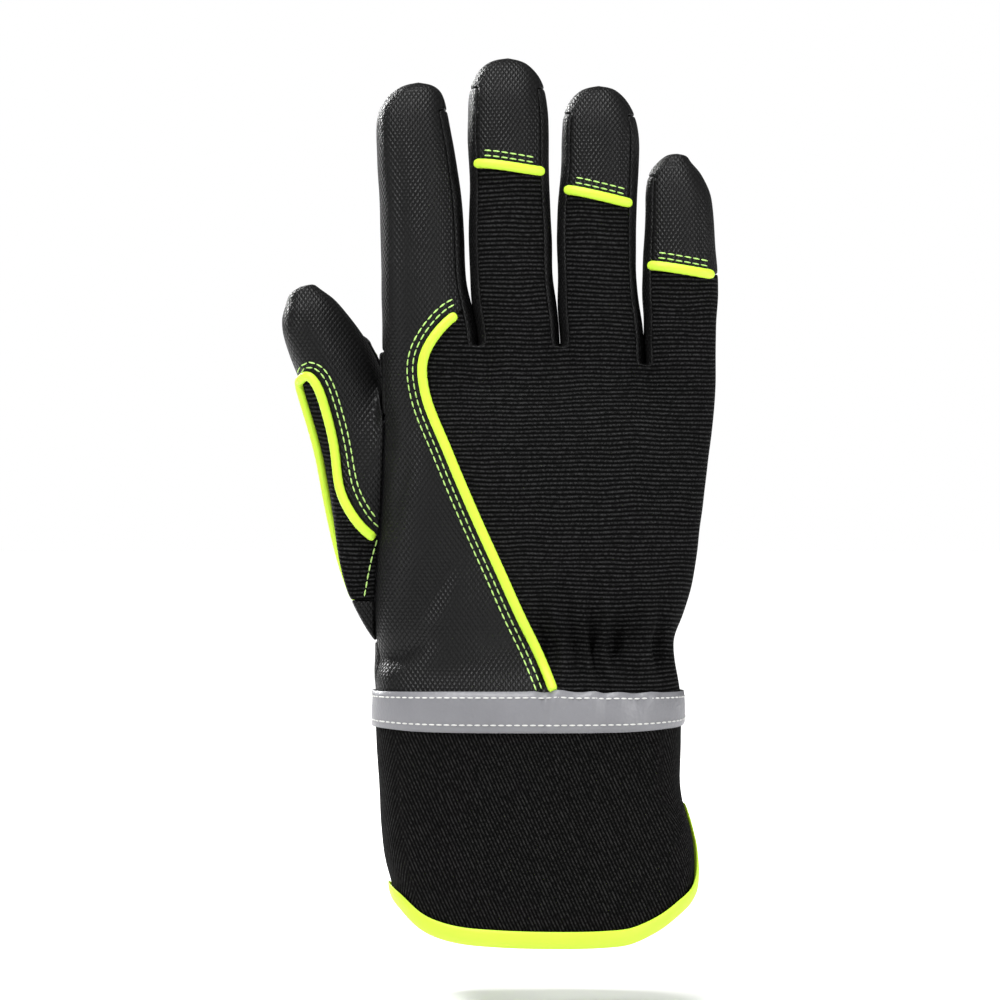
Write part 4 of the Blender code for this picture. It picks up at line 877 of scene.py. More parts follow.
    def build_thumb(self):
        """Opens the palm at the thumb's seam and raises the thumb out of it."""
        bm = self.bm
        first = len(CUFF_ROWS) + 1
        low, high = (first + HAND_ROWS.index(share) for share in THUMB_HOLE_ROWS)
        start = self.palm_end - FACE_COLUMNS
        end = self.palm_end + SIDE_COLUMNS - SIDE_BACK
        doomed = []
        for r in range(low, high):
            for k in range(start, end):
                doomed.append(self.face_of(self.rows[r], self.rows[r + 1], k))
        inside = [self.rows[r][k] for r in range(low + 1, high) for k in range(start + 1, end)]
        bmesh.ops.delete(bm, geom=doomed, context="FACES_ONLY")
        bmesh.ops.delete(bm, geom=inside, context="VERTS")
        palm_loop = [self.rows[high][k] for k in range(end, start, -1)]
        palm_loop += [self.rows[r][start] for r in range(high, low, -1)]
        palm_loop += [self.rows[low][k] for k in range(start, end + 1)]
        side_loop = [self.rows[r][end] for r in range(low + 1, high)]
        self.place_seam(palm_loop)
        self.settle_palm(set(palm_loop + side_loop), low, high)
        self.raise_thumb(palm_loop + side_loop, len(palm_loop))

    def place_seam(self, palm_loop):
        """Lays the opening's inner edge along the thumb's seam, at even steps."""
        line = hand_outline(THUMB_SEAM, FINE_STEPS, False)
        reach = [0.0]
        for a, b in zip(line, line[1:]):
            reach.append(reach[-1] + (b - a).length)
        inner = palm_loop[SIDE_COLUMNS - SIDE_BACK:SIDE_BACK - SIDE_COLUMNS]
        for k, v in enumerate(inner):
            want = reach[-1] * k / (len(inner) - 1)
            j = next(j for j in range(1, len(line)) if reach[j] >= want - 1e-9)
            share = (want - reach[j - 1]) / (reach[j] - reach[j - 1])
            spot = line[j - 1].lerp(line[j], share)
            v.co = Vector((spot.x, palm_depth_at(spot.x, spot.y), spot.y))

    def settle_palm(self, fixed, low, high):
        """Evens out the palm's vertices round the thumb seam, along the palm's own surface."""
        zone = []
        columns = range(self.palm_end - 2 * FACE_COLUMNS - WEB_COLUMNS - 2 * FINER, self.palm_end)
        for r in range(low - 2 * FINER, high + 2 * FINER + 1):
            zone += [self.rows[r][k] for k in columns if self.rows[r][k].is_valid]
        zone = [v for v in zone if v not in fixed]
        height = {v: v.co.y / max(palm_depth_at(v.co.x, v.co.z), 1e-6) for v in zone}
        for _ in range(SETTLE_ROUNDS):
            moved = {}
            for v in zone:
                around = [e.other_vert(v).co for e in v.link_edges]
                moved[v] = sum(around, Vector()) / len(around)
            for v, co in moved.items():
                v.co.x += (co.x - v.co.x) * SETTLE_SHARE
                v.co.z += (co.z - v.co.z) * SETTLE_SHARE
                v.co.y = palm_depth_at(v.co.x, v.co.z) * height[v]

    def raise_thumb(self, loop, palm_count):
        """Grows the thumb out of its opening: a curved root first, then the tube and its tip."""
        bm = self.bm
        root = Vector(THUMB_START)
        along = Vector((-math.sin(THUMB_LEAN), 0, math.cos(THUMB_LEAN)))
        across = Vector((math.cos(THUMB_LEAN), 0, math.sin(THUMB_LEAN)))
        count = len(loop)
        # The crotch's middle vertex faces the hand, and the loop runs over the palm side
        inner = (FACE_COLUMNS + SIDE_COLUMNS - SIDE_BACK) / 2
        angles = [2 * math.pi * (k - inner) / count for k in range(count)]

        def section(k, share):
            c, s = squared(angles[k], THUMB_SQUARENESS)
            shift, wide, deep = (read_table(THUMB_SHAPE, share, part) for part in (1, 2, 3))
            centre = root + along * THUMB_LENGTH * share + across * THUMB_WIDTH * shift
            return centre + across * THUMB_WIDTH / 2 * wide * c + Vector((0, THUMB_DEPTH / 2 * deep * s, 0))

        def bend(k, share):
            start, goal = base[k], section(k, 0.0)
            reach = (goal - start).length
            facing = Vector((math.cos(angles[k]), math.sin(angles[k]), 0))
            lift = Vector((0, THUMB_LIFT * max(math.sin(angles[k]), 0.0), 0))
            leave = lift + facing * THUMB_FLARE + Vector(THUMB_RISE)
            first = start + leave * reach * PALM_CARRY
            second = goal - along * reach * THUMB_CARRY
            rest = 1 - share
            return (
                start * rest**3
                + first * 3 * rest * rest * share
                + second * 3 * rest * share * share
                + goal * share**3
            )

        base = [v.co.copy() for v in loop]
        ring = loop
        steps = [(bend, row / ROOT_ROWS) for row in range(1, ROOT_ROWS + 1)]
        steps += [(section, share) for share in THUMB_ROWS]
        for place, share in steps:
            ring = self.grow(ring, [place(k, share) for k in range(count)], [THUMB] * count)
        fan, centre = close_tip(bm, ring)
        centre.co += along * THUMB_LENGTH * THUMB_CROWN
        for face in fan:
            face[self.panel] = THUMB
        # The column that runs up the thumb's outer silhouette
        self.thumb_outer = palm_count - 3 * FINER


def signed_distance(outline):
    """Distance from a closed outline seen along Y, negative inside it."""
    ends = [(a.x, a.y, b.x, b.y) for a, b in zip(outline, outline[1:] + outline[:1])]

    def distance(co):
        x, z = co.x, co.z
        best, inside = 1e9, False
        for ax, az, bx, bz in ends:
            ux, uz = bx - ax, bz - az
            size = ux * ux + uz * uz
            share = min(max(((x - ax) * ux + (z - az) * uz) / size, 0.0), 1.0) if size else 0.0
            best = min(best, math.hypot(x - ax - ux * share, z - az - uz * share))
            if (az > z) != (bz > z) and x < ax + ux * (z - az) / (bz - az):
                inside = not inside
        return -best if inside else best

    return distance


def hand_outline(points, steps=CUT_STEPS, closed=True):
    """A smooth line through places given as shares of the knuckle width and the palm's length."""
    places = [(x * KNUCKLE_WIDTH, CUFF_LENGTH + z * PALM_LENGTH) for x, z in points]
    return smooth_line(places, steps, closed)


def cut_along(bm, faces, distance, snap=0.22):
    """Splits faces along the line where a distance is zero and returns those on its inner side."""
    out = bm.verts.layers.float_vector["out"]
    value = {}
    for v in {v for f in faces for v in f.verts}:
        value[v] = distance(v.co)
        near = min(e.calc_length() for e in v.link_edges)
        if abs(value[v]) < snap * near:
            step = TINY
            slope_x = (distance(v.co + Vector((step, 0, 0))) - value[v]) / step
            slope_z = (distance(v.co + Vector((0, 0, step))) - value[v]) / step
            size = max(slope_x**2 + slope_z**2, LEAST_SLOPE)
            v.co -= flat_move(v, out, Vector((slope_x, 0, slope_z)) * (value[v] / size))
            value[v] = 0.0
    crossing = {e for f in faces for e in f.edges}
    ordered = sorted(crossing, key=lambda e: tuple((e.verts[0].co + e.verts[1].co)))
    for edge in ordered:
        a, b = edge.verts
        if a in value and b in value and value[a] * value[b] < 0:
            _, fresh = bmesh.utils.edge_split(edge, a, value[a] / (value[a] - value[b]))
            value[fresh] = 0.0
    inside_faces = set(faces)
    marked = bm.faces.layers.int["picked"]
    for f in bm.faces:
        f[marked] = 1 if f in inside_faces else 0
    zero = [v for v, d in value.items() if d == 0.0 and v.is_valid]
    outside = [f for f in bm.faces if not f[marked]]
    bmesh.ops.connect_verts(bm, verts=zero, faces_exclude=outside)
    inner = []
    for f in bm.faces:
        if f[marked]:
            total = sum(value.get(v, 0.0) for v in f.verts)
            if total < 0 or (total == 0 and distance(f.calc_center_median()) < 0):
                inner.append(f)
    return inner


def away(v, out):
    """The direction out of the glove at a vertex, as the skin had it before its folds."""
    return Vector(v[out]).normalized()


def flat_move(v, out, move):
    """A move in the plane of the surface at a vertex."""
    normal = away(v, out)
    return move - normal * move.dot(normal)


def skin_folds(bm):
    """Gives the whole skin its soft folds: gathers, creases and the unevenness of sewn cloth."""
    bm.normal_update()
    moves = []
    for v in bm.verts:
        co = v.co
        swell = noise.noise(co * FOLD_SCALE) * FOLD_DEPTH
        swell += noise.noise(co * RIPPLE_SCALE) * RIPPLE_DEPTH
        for fold in FOLDS:
            swell -= crease(fold, co)
        swell += gathers(co)
        moves.append((v, v.normal * swell))
    for v, move in moves:
        v.co += move


def gathers(co):
    """Puckers that the elastic draws into the back, with its own tight line between them."""
    if co.y > 0 or co.x < ELASTIC_EDGE * KNUCKLE_WIDTH:
        return 0.0
    height = (co.z - CUFF_LENGTH) / PALM_LENGTH - ELASTIC_HEIGHT
    across = co.x / KNUCKLE_WIDTH
    ease = smooth_step(ELASTIC_EDGE, ELASTIC_EDGE + GATHER_EASES[0], across)
    ease *= 1 - smooth_step(GATHERS_END - GATHER_EASES[1], GATHERS_END, across)
    drift = noise.noise(Vector((co.x * DRIFT_SCALES[0], 0, co.z * DRIFT_SCALES[1])))
    turn = 2 * math.pi * (co.x / GATHER_PITCH + drift * GATHER_DRIFT)
    reach = 1 + GATHER_UNEVEN * noise.noise(Vector((co.x * UNEVEN_SCALE, 5, 0)))
    reach = GATHER_REACH * max(reach, SHORTEST_GATHER)
    puckers = math.cos(turn) * math.exp(-((height / reach) ** 2))
    tight = math.exp(-((height / GATHER_LINE) ** 2))
    return ease * (GATHER_SWELL * puckers - GATHER_TIGHT * tight)


def crease(fold, co):
    """How deep one fold presses in at a point: a groove that fades along and across."""
    x, z, turn, reach, spread, depth, side = fold
    facing = smooth_step(0.0, CREASE_FADE, side * co.y)
    if facing == 0:
        return 0.0
    across_x = co.x - x * KNUCKLE_WIDTH
    across_z = co.z - CUFF_LENGTH - z * PALM_LENGTH
    angle = math.radians(turn)
    along = across_x * math.cos(angle) + across_z * math.sin(angle)
    across = across_z * math.cos(angle) - across_x * math.sin(angle)
    reach *= PALM_LENGTH
    spread *= PALM_LENGTH
    return facing * depth * WALL * math.exp(-((along / reach) ** 2) - (across / spread) ** 2)


def finish_skin(shell):
    bm = shell.bm
    bmesh.ops.recalc_face_normals(bm, faces=bm.faces[:])
    middle = sum((v.co for v in bm.verts), Vector()) / len(bm.verts)
    facing = sum(f.normal.dot(f.calc_center_median() - middle) * f.calc_area() for f in bm.faces)
    if facing < 0:
        bmesh.ops.reverse_faces(bm, faces=bm.faces[:])
    bm.normal_update()
    for v in bm.verts:
        v[shell.out] = v.normal
    skin_folds(bm)


def beside_middle(point):
    """Whether a point lies on the hand or on the index finger, clear of the other fingers."""
    return point.z < CUFF_LENGTH + 0.9 * PALM_LENGTH or point.x < line_x(1, point.z)


def cut_panels(shell):
    """Parts the back along the rolled piping and lets the knit insert into the thumb."""
    bm, panel, column = shell.bm, shell.panel, shell.column
    line = hand_outline(BACK_LINE, closed=False)
    far, top = -2 * KNUCKLE_WIDTH, line[0].y + KNUCKLE_WIDTH
    outline = [Vector((far, top)), Vector((0, top)), Vector((0, line[0].y))]
    outline += line + [Vector((line[-1].x, -CUFF_LENGTH)), Vector((far, -CUFF_LENGTH))]
    faces = [f for f in bm.faces if f[panel] == BACK and beside_middle(f.calc_center_median())]
    for f in cut_along(bm, faces, signed_distance(outline)):
        if f[panel] == BACK:
            f[panel] = INDEX
    legs = hand_outline(THUMB_INSERT, closed=False)
    bottom = CUFF_LENGTH + THUMB_INSERT_FOOT * PALM_LENGTH
    outline = [Vector((far, legs[0].y))] + legs + [Vector((legs[-1].x, bottom)), Vector((far, bottom))]
    first = shell.thumb_outer + THUMB_INSERT_TURN
    faces = [f for f in bm.faces if f[panel] == THUMB and f[column] >= first]
    for f in cut_along(bm, faces, signed_distance(outline)):
        f[panel] = THUMB_KNIT


def mesh_of(name, bm):
    """The mesh of a finished form, which is freed."""
    mesh = bpy.data.meshes.new(name)
    bm.to_mesh(mesh)
    bm.free()
    return mesh


def panel_faces(source, number):
    """A copy of the skin with only one panel's faces."""
    bm = source.copy()
    panel = bm.faces.layers.int["panel"]
    bmesh.ops.delete(bm, geom=[f for f in bm.faces if f[panel] != number], context="FACES")
    return bm


def roll_edge(bm, width, drop):
    """Rolls a panel's open edge down into its seam."""
    short = [e for e in bm.edges if len(e.link_faces) == 1 and e.calc_length() < width]
    bmesh.ops.collapse(bm, edges=short)
    bmesh.ops.dissolve_degenerate(bm, edges=bm.edges[:], dist=TINY)
    bmesh.ops.inset_region(bm, faces=bm.faces[:], use_boundary=True, use_even_offset=True, thickness=width)
    bm.normal_update()
    rim = {v for e in bm.edges if len(e.link_faces) == 1 for v in e.verts}
    moves = [(v, v.normal * drop) for v in rim]
    for v, move in moves:
        v.co -= move


def finish_piece(name, bm, looks, wall, levels, stands_for):
    """Makes a sewn piece: its wall, its lining side and its smoothness, standing for a CAD node."""
    mesh = mesh_of(name + "_cloth", bm)
    mesh.shade_smooth()
    obj = bpy.data.objects.new(name + "_cloth", mesh)
    for look in looks:
        mesh.materials.append(look)
    GLOVE.objects.link(obj)
    if wall:
        solid = obj.modifiers.new("wall", "SOLIDIFY")
        solid.thickness = wall
        solid.offset = -1
        solid.material_offset = len(looks) - 1
    if levels:
        smooth = obj.modifiers.new("smooth", "SUBSURF")
        smooth.levels = levels
        smooth.render_levels = levels
    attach(obj, "root")
    if stands_for:
        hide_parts(stands_for)
    return obj


def make_panel(shell, number, look):
    name = PANELS[number]
    bm = panel_faces(shell.bm, number)
    if number == CUFF:
        return finish_piece(name, bm, (look, LINING), CUFF_WALL, 1, name)
    roll_edge(bm, SEAM_ROLL, SEAM_DROP)
    return finish_piece(name, bm, (look, LINING), WALL * SEWN_WALL, 1, name)


def make_lining(shell):
    """The warm lining: one skin inside the panels, left out where a seam is too tight for it."""
    skin = BVHTree.FromBMesh(shell.bm)
    bm = shell.bm.copy()
    out = bm.verts.layers.float_vector["out"]
    tight = []
    for v in bm.verts:
        v.co -= away(v, out) * LINING_DEPTH
        if skin.find_nearest(v.co)[3] < LINING_DEPTH * LINING_ROOM:
            tight.append(v)
    bmesh.ops.delete(bm, geom=tight, context="VERTS")
    finish_piece("warm_lining", bm, (LINING,), LINING_WALL, 0, None)


def make_patch(shell, name, outline, rise, allowed):
    """A patch sewn on the skin: flat at its stitching and fuller between."""
    bm = shell.bm.copy()
    panel = bm.faces.layers.int["panel"]
    out = bm.verts.layers.float_vector["out"]
    distance = signed_distance(outline)
    faces = [f for f in bm.faces if allowed(f, f[panel])]
    inner = set(cut_along(bm, faces, distance))
    bmesh.ops.delete(bm, geom=[f for f in bm.faces if f not in inner], context="FACES")
    for v in bm.verts:
        v.co += away(v, out) * (GAP + rise(distance(v.co)))
    roll_edge(bm, PATCH_ROLL, PATCH_DROP)
    obj = finish_piece(name, bm, (LEATHER, LINING), PATCH_WALL, 1, name)
    return obj


def patch_rise(distance):
    flat = smooth_step(0.0, PATCH_FLAT, -distance)
    return PATCH_THICKNESS * (PATCH_SEWN + (1 - PATCH_SEWN) * flat)


def heel_rise(distance):
    swell = HEEL_PAD_THICKNESS - PATCH_THICKNESS
    full = smooth_step(PATCH_FLAT * HEEL_FLAT, HEEL_PAD_EDGE, -distance)
    return PATCH_THICKNESS * HEEL_SEWN + swell * full


def make_patches(shell):
    def on_palm(face, panel):
        return panel == PALM and face.normal.y > PATCH_FACING

    def on_thumb(face, panel):
        return panel == THUMB and face.normal.y > THUMB_PATCH_FACING

    saddle = hand_outline(SADDLE_OUTLINE, FINE_STEPS)
    heel = hand_outline(HEEL_OUTLINE, FINE_STEPS)
    make_patch(shell, "saddle_patch", saddle, patch_rise, on_palm)
    pad = make_patch(shell, "heel_pad", heel, heel_rise, on_palm)
    root_x, _, root_z = THUMB_START
    places = [(root_x + x * THUMB_WIDTH, root_z + z * THUMB_LENGTH) for x, z in THUMB_PATCH]
    ball = smooth_line(places, FINE_STEPS, True)
    make_patch(shell, "thumb_patch", ball, patch_rise, on_thumb)
    return saddle, heel, ball


def seam_chain(shell, one, other, wanted):
    """Vertices in order along the seam between two panels."""
    ends = {}
    for edge in shell.bm.edges:
        if len(edge.link_faces) == 2 and wanted(edge):
            if {f[shell.panel] for f in edge.link_faces} == {one, other}:
                for v in edge.verts:
                    ends.setdefault(v, []).append(edge)
    tips = [v for v, several in ends.items() if len(several) == 1]
    start = max(tips, key=lambda v: (round(v.co.z, 4), v.co.x))
    chain, used = [start], set()
    while True:
        edge = next((e for e in ends[chain[-1]] if e not in used), None)
        if edge is None:
            return chain
        used.add(edge)
        chain.append(edge.other_vert(chain[-1]))


def evened(points, step, rounds=3):
    """A polyline eased and walked at even steps."""
    points = [p.copy() for p in points]
    for _ in range(rounds):
        inner = [(a + b * 2 + c) / 4 for a, b, c in zip(points, points[1:], points[2:])]
        points = [points[0], *inner, points[-1]]
    walked, left = [points[0]], step
    for a, b in zip(points, points[1:]):
        length = (b - a).length
        at = left
        while at <= length:
            walked.append(a.lerp(b, at / length))
            at += step
        left = at - length
    return walked


def sweep(name, sections, look, closed, levels):
    """A closed body through rings of points, joined end to end or capped."""
    bm = bmesh.new()
    ring = bmesh.ops.create_circle(bm, cap_ends=False, segments=len(sections[0]), radius=1.0)["verts"]
    first = ring
    for v, co in zip(ring, sections[0]):
        v.co = co
    for section in sections[1:] + ([sections[0]] if closed else []):
        ring = extrude_ring(bm, ring)
        for v, co in zip(ring, section):
            v.co = co
    if closed:
        bmesh.ops.weld_verts(bm, targetmap=dict(zip(ring, first)))
    else:
        close_ring(bm, first)
        close_ring(bm, ring)
    bmesh.ops.recalc_face_normals(bm, faces=bm.faces[:])
    finish_piece(name, bm, (look,), 0, levels, name)


def make_piping(shell, name, chain, trim, outward):
    """A rolled edge of bright fabric lying in a seam, with the pull of each stitch in it."""
    lift = PIPING_RADIUS * PIPING_LIFT
    places = []
    for v in chain:
        aside = outward * smooth_step(*PIPING_LEAN_HEIGHTS, (v.co.z - CUFF_LENGTH) / PALM_LENGTH)
        places.append(v.co + away(v, shell.out) * lift - Vector((aside, 0, 0)))
    points = evened(places, PIPING_STEP)[trim:]
    last = len(points) - 1
    around = [2 * math.pi * k / PIPING_SIDES for k in range(PIPING_SIDES)]
    sections = []
    for k, p in enumerate(points):
        ahead = points[min(k + 1, last)] - points[max(k - 1, 0)]
        near = min(chain, key=lambda v: (v.co - p).length_squared)
        side = ahead.cross(away(near, shell.out)).normalized()
        up = side.cross(ahead).normalized()
        full = min(k, last - k, PIPING_END_STEPS) / PIPING_END_STEPS
        pull = 0.5 + 0.5 * math.cos(2 * math.pi * k * PIPING_STEP / STITCH_PITCH)
        size = PIPING_RADIUS * (PIPING_END + (1 - PIPING_END) * full)
        size *= PIPING_PLUMP - PIPING_PULL * pull
        wide = size * PIPING_BREADTH
        sections.append([p + side * math.cos(a) * wide + up * math.sin(a) * size for a in around])
    sweep(name, sections, PIPING, False, 1)


def make_pipings(shell):
    """Piping in five seams: over the back, round the thumb's insert and under three tip caps."""
    band_top = CUFF_LENGTH + BAND_HEIGHT / 2

    def over_band(edge):
        return min(v.co.z for v in edge.verts) > band_top - BAND_HEIGHT / 8

    lines = {"back": seam_chain(shell, BACK, INDEX, over_band)}
    foot = CUFF_LENGTH + THUMB_PIPING_FOOT * PALM_LENGTH

    def over_foot(edge):
        return max(v.co.z for v in edge.verts) > foot

    lines["thumb"] = seam_chain(shell, THUMB, THUMB_KNIT, over_foot)

    def on_back(edge):
        return all(f[shell.column] < FACE_COLUMNS for f in edge.link_faces)

    for tip, name in ((MIDDLE_TIP, "middle"), (RING_TIP, "ring"), (LITTLE_TIP, "little")):
        lines[name] = seam_chain(shell, tip, BACK, on_back)
    for name, chain in lines.items():
        trim = BACK_PIPING_TRIM if name == "back" else 0
        outward = PIPING_LEAN if name == "thumb" else 0.0
        make_piping(shell, name + "_piping", chain, trim, outward)
    return lines


def make_binding(shell):
    """The bound edge, folded over the hem from the outside to the lining side."""
    hem, upper = shell.rows[0], shell.rows[1]
    outer = GAP + BINDING_THICKNESS
    inner = -CUFF_WALL - GAP
    sections = []
    for k, (low, high) in enumerate(zip(hem, upper)):
        ahead = hem[(k + 1) % len(hem)].co - low.co
        behind = low.co - hem[k - 1].co
        normal = away(low, shell.out)
        downs = [d.cross(normal).normalized() for d in (ahead, behind)]
        downs = [d if d.dot(low.co - high.co) > 0 else -d for d in downs]
        down = (downs[0] + downs[1]).normalized()
        lift = away(high, shell.out)
        pull = BINDING_PULL * (0.5 + 0.5 * math.cos(2 * math.pi * k / BINDING_COLUMNS_A_PULL))
        section = (
            high.co + lift * (outer - pull),
            high.co.lerp(low.co, 0.5) + lift * (outer + pull),
            low.co + normal * outer + down * GAP,
            low.co + normal * GAP + down * outer,
            low.co + normal * (inner + GAP) + down * outer,
            low.co + normal * (inner - BINDING_THICKNESS) + down * GAP,
            high.co + lift * (inner - BINDING_THICKNESS),
            high.co + lift * inner,
            low.co + normal * inner + down * GAP,
            low.co + normal * GAP + down * GAP,
            high.co + lift * GAP,
        )
        sections.append(section)
    sweep("hem_binding", sections, PIPING, True, 1)


def make_band(shell):
    """Reflective tape round the cuff seam, its end lapped over its start."""
    seam = len(CUFF_ROWS)
    rows = [shell.rows[r] for r in range(seam - FINER, seam + FINER + 1)]
    count = len(rows[0])
    start = shell.back_columns + SIDE_COLUMNS + FINER
    sections = []
    for i in range(count + FINER + 1):
        k = (start - i) % count
        low = GAP + (BAND_THICKNESS + GAP) * smooth_step(count - 3, count - 1, i)
        ring = [row[k] for row in rows]
        outs = [away(v, shell.out) for v in ring]
        section = [v.co + out * low for v, out in zip(ring, outs)]
        section += [v.co + out * (low + BAND_THICKNESS) for v, out in zip(ring[::-1], outs[::-1])]
        sections.append(section)
    sweep("reflective_band", sections, TAPE, False, 0)


class Surfaces:
    """The finished pieces' outsides, to lay the thread on."""

    def __init__(self, pieces):
        depsgraph = bpy.context.evaluated_depsgraph_get()
        self.trees = [BVHTree.FromObject(obj, depsgraph) for obj in pieces]

    def touch(self, x, z, side):
        """The outermost point at a place seen from the back (-1) or the palm (+1)."""
        best = None
        start = Vector((x, side * PALM_LENGTH, z))
        for tree in self.trees:
            place, normal, _, _ = tree.ray_cast(start, Vector((0, -side, 0)))
            if place and (best is None or side * place.y > side * best[0].y):
                best = (place, normal)
        return best


def beside(line, offset, closed):
    """A line run alongside another in the X-Z plane; a positive offset lies on its left."""
    made = []
    count = len(line)
    for k, p in enumerate(line):
        before = line[(k - 1) % count if closed else max(k - 1, 0)]
        after = line[(k + 1) % count if closed else min(k + 1, count - 1)]
        along = (after - before).normalized()
        made.append(p + Vector((-along.y, along.x)) * offset)
    return made


def one_stitch():
    """A short round stitch of unit size lying along X, to be copied along every row."""
    bm = bmesh.new()
    bmesh.ops.create_uvsphere(bm, u_segments=6, v_segments=5, radius=1.0, matrix=LENGTHWISE)
    return mesh_of("stitch", bm)


def place_stitch(bm, middle, along, across, up):
    """Adds one stitch, laid along its thread and turned to its fabric."""
    placed = STITCH.copy()
    turned = Matrix((along, across * THREAD_RADIUS, up * THREAD_RADIUS)).transposed().to_4x4()
    turned.translation = middle
    placed.transform(turned)
    bm.from_mesh(placed)
    bpy.data.meshes.remove(placed)


def lay_row(bm, surfaces, line, side, closed):
    """Lays one row of thread along a line in the X-Z plane, one short round stitch at a time."""
    points = [Vector((p.x, p.y, 0)) for p in (line + line[:1] if closed else line)]
    walked = evened(points, STITCH_PITCH / 2, 1)
    for a, b in zip(walked[0::2], walked[1::2]):
        ends = (a.lerp(b, -STITCH_REACH), a.lerp(b, 1 + STITCH_REACH))
        spots = [surfaces.touch(p.x, p.y, side) for p in ends]
        if None in spots:
            continue
        start, normal = spots[0]
        end = spots[1][0]
        along = end - start
        if not SHORTEST_STITCH <= along.length / STITCH_PITCH <= LONGEST_STITCH:
            continue
        normal = (normal + spots[1][1]).normalized()
        across = normal.cross(along).normalized()
        up = along.cross(across).normalized()
        if up.dot(normal) < 0:
            up.negate()
        place_stitch(bm, (start + end) / 2 + up * THREAD_RADIUS * THREAD_LIFT, along / 2, across, up)


def lay_rows(bm, surfaces, line, offsets, side, closed=False):
    """Lays rows of thread beside a line, at offsets to its left."""
    for offset in offsets:
        lay_row(bm, surfaces, beside(line, offset, closed), side, closed)


def finish_stitches(name, bm, look):
    bmesh.ops.recalc_face_normals(bm, faces=bm.faces[:])
    finish_piece(name, bm, (look,), 0, 0, None)


def flat(points):
    return [Vector((p.x, p.z)) for p in points]


def stitch_patches(surfaces, patches, outlines):
    """Two rows inside every patch's edge, along the thumb's seam and the lines on the palm."""
    bm = bmesh.new()
    for patch, outline in zip(patches, outlines):
        inwards = 1 if signed_area(outline) > 0 else -1
        lay_rows(bm, Surfaces([patch]), outline, [inwards * inset for inset in STITCH_ROWS], 1, True)
    near, far = STITCH_ROWS
    lay_rows(bm, surfaces, hand_outline(THUMB_SEAM, FINE_STEPS, False), (-near, -far), 1)
    for line in (PAD_CHANNEL, THUMB_DART):
        lay_rows(bm, surfaces, hand_outline(line, FINE_STEPS, False), (0.0, far - near), 1)
    finish_stitches("palm_stitches", bm, THREAD)


def signed_area(outline):
    pairs = zip(outline, outline[1:] + outline[:1])
    return sum(a.x * b.y - b.x * a.y for a, b in pairs) / 2


def stitch_back(surfaces, lines):
    """Rows beside each piping, and one along the hand's edge."""
    bm = bmesh.new()
    for name, (carrier, offsets) in PIPING_ROWS.items():
        line = evened([v.co for v in lines[name]], STITCH_LINE_STEP)
        if name == "thumb":
            apex = max(line, key=lambda p: p.z)
            line = [p for p in line if p.x > apex.x - PIPING_RADIUS and p.z > THREAD_FOOT_Z]
        held = Surfaces([bpy.data.objects[carrier + "_cloth"]])
        lay_rows(bm, held, flat(line), offsets, -1)
    lay_row(bm, surfaces, hand_outline(HAND_EDGE, FINE_STEPS, False), -1, False)
    finish_stitches("back_stitches", bm, THREAD)


def stitch_band(shell):
    """Two rows of white thread round the tape."""
    bm = bmesh.new()
    lift = GAP + BAND_THICKNESS + THREAD_RADIUS * BAND_THREAD_LIFT
    seam = len(CUFF_ROWS)
    count = len(shell.columns)
    for share in BAND_STITCH_ROWS:
        row = seam - FINER + share * 2 * FINER
        low, part = int(row), row - int(row)
        points = []
        for k in range(count + 1):
            a, b = shell.rows[low][k % count], shell.rows[low + 1][k % count]
            out = away(a, shell.out)
            points.append(a.co.lerp(b.co, part) + out * lift)
        walked = evened(points, BAND_STITCH_PITCH / 2, 1)
        for a, b in zip(walked[0::2], walked[1::2]):
            along = (b - a) * BAND_STITCH_LENGTH
            out = Vector((a.x, a.y, 0)).normalized()
            across = out.cross(along).normalized()
            up = along.cross(across).normalized()
            place_stitch(bm, (a + b) / 2, along / 2, across, up)
    finish_stitches("band_stitches", bm, WHITE_THREAD)


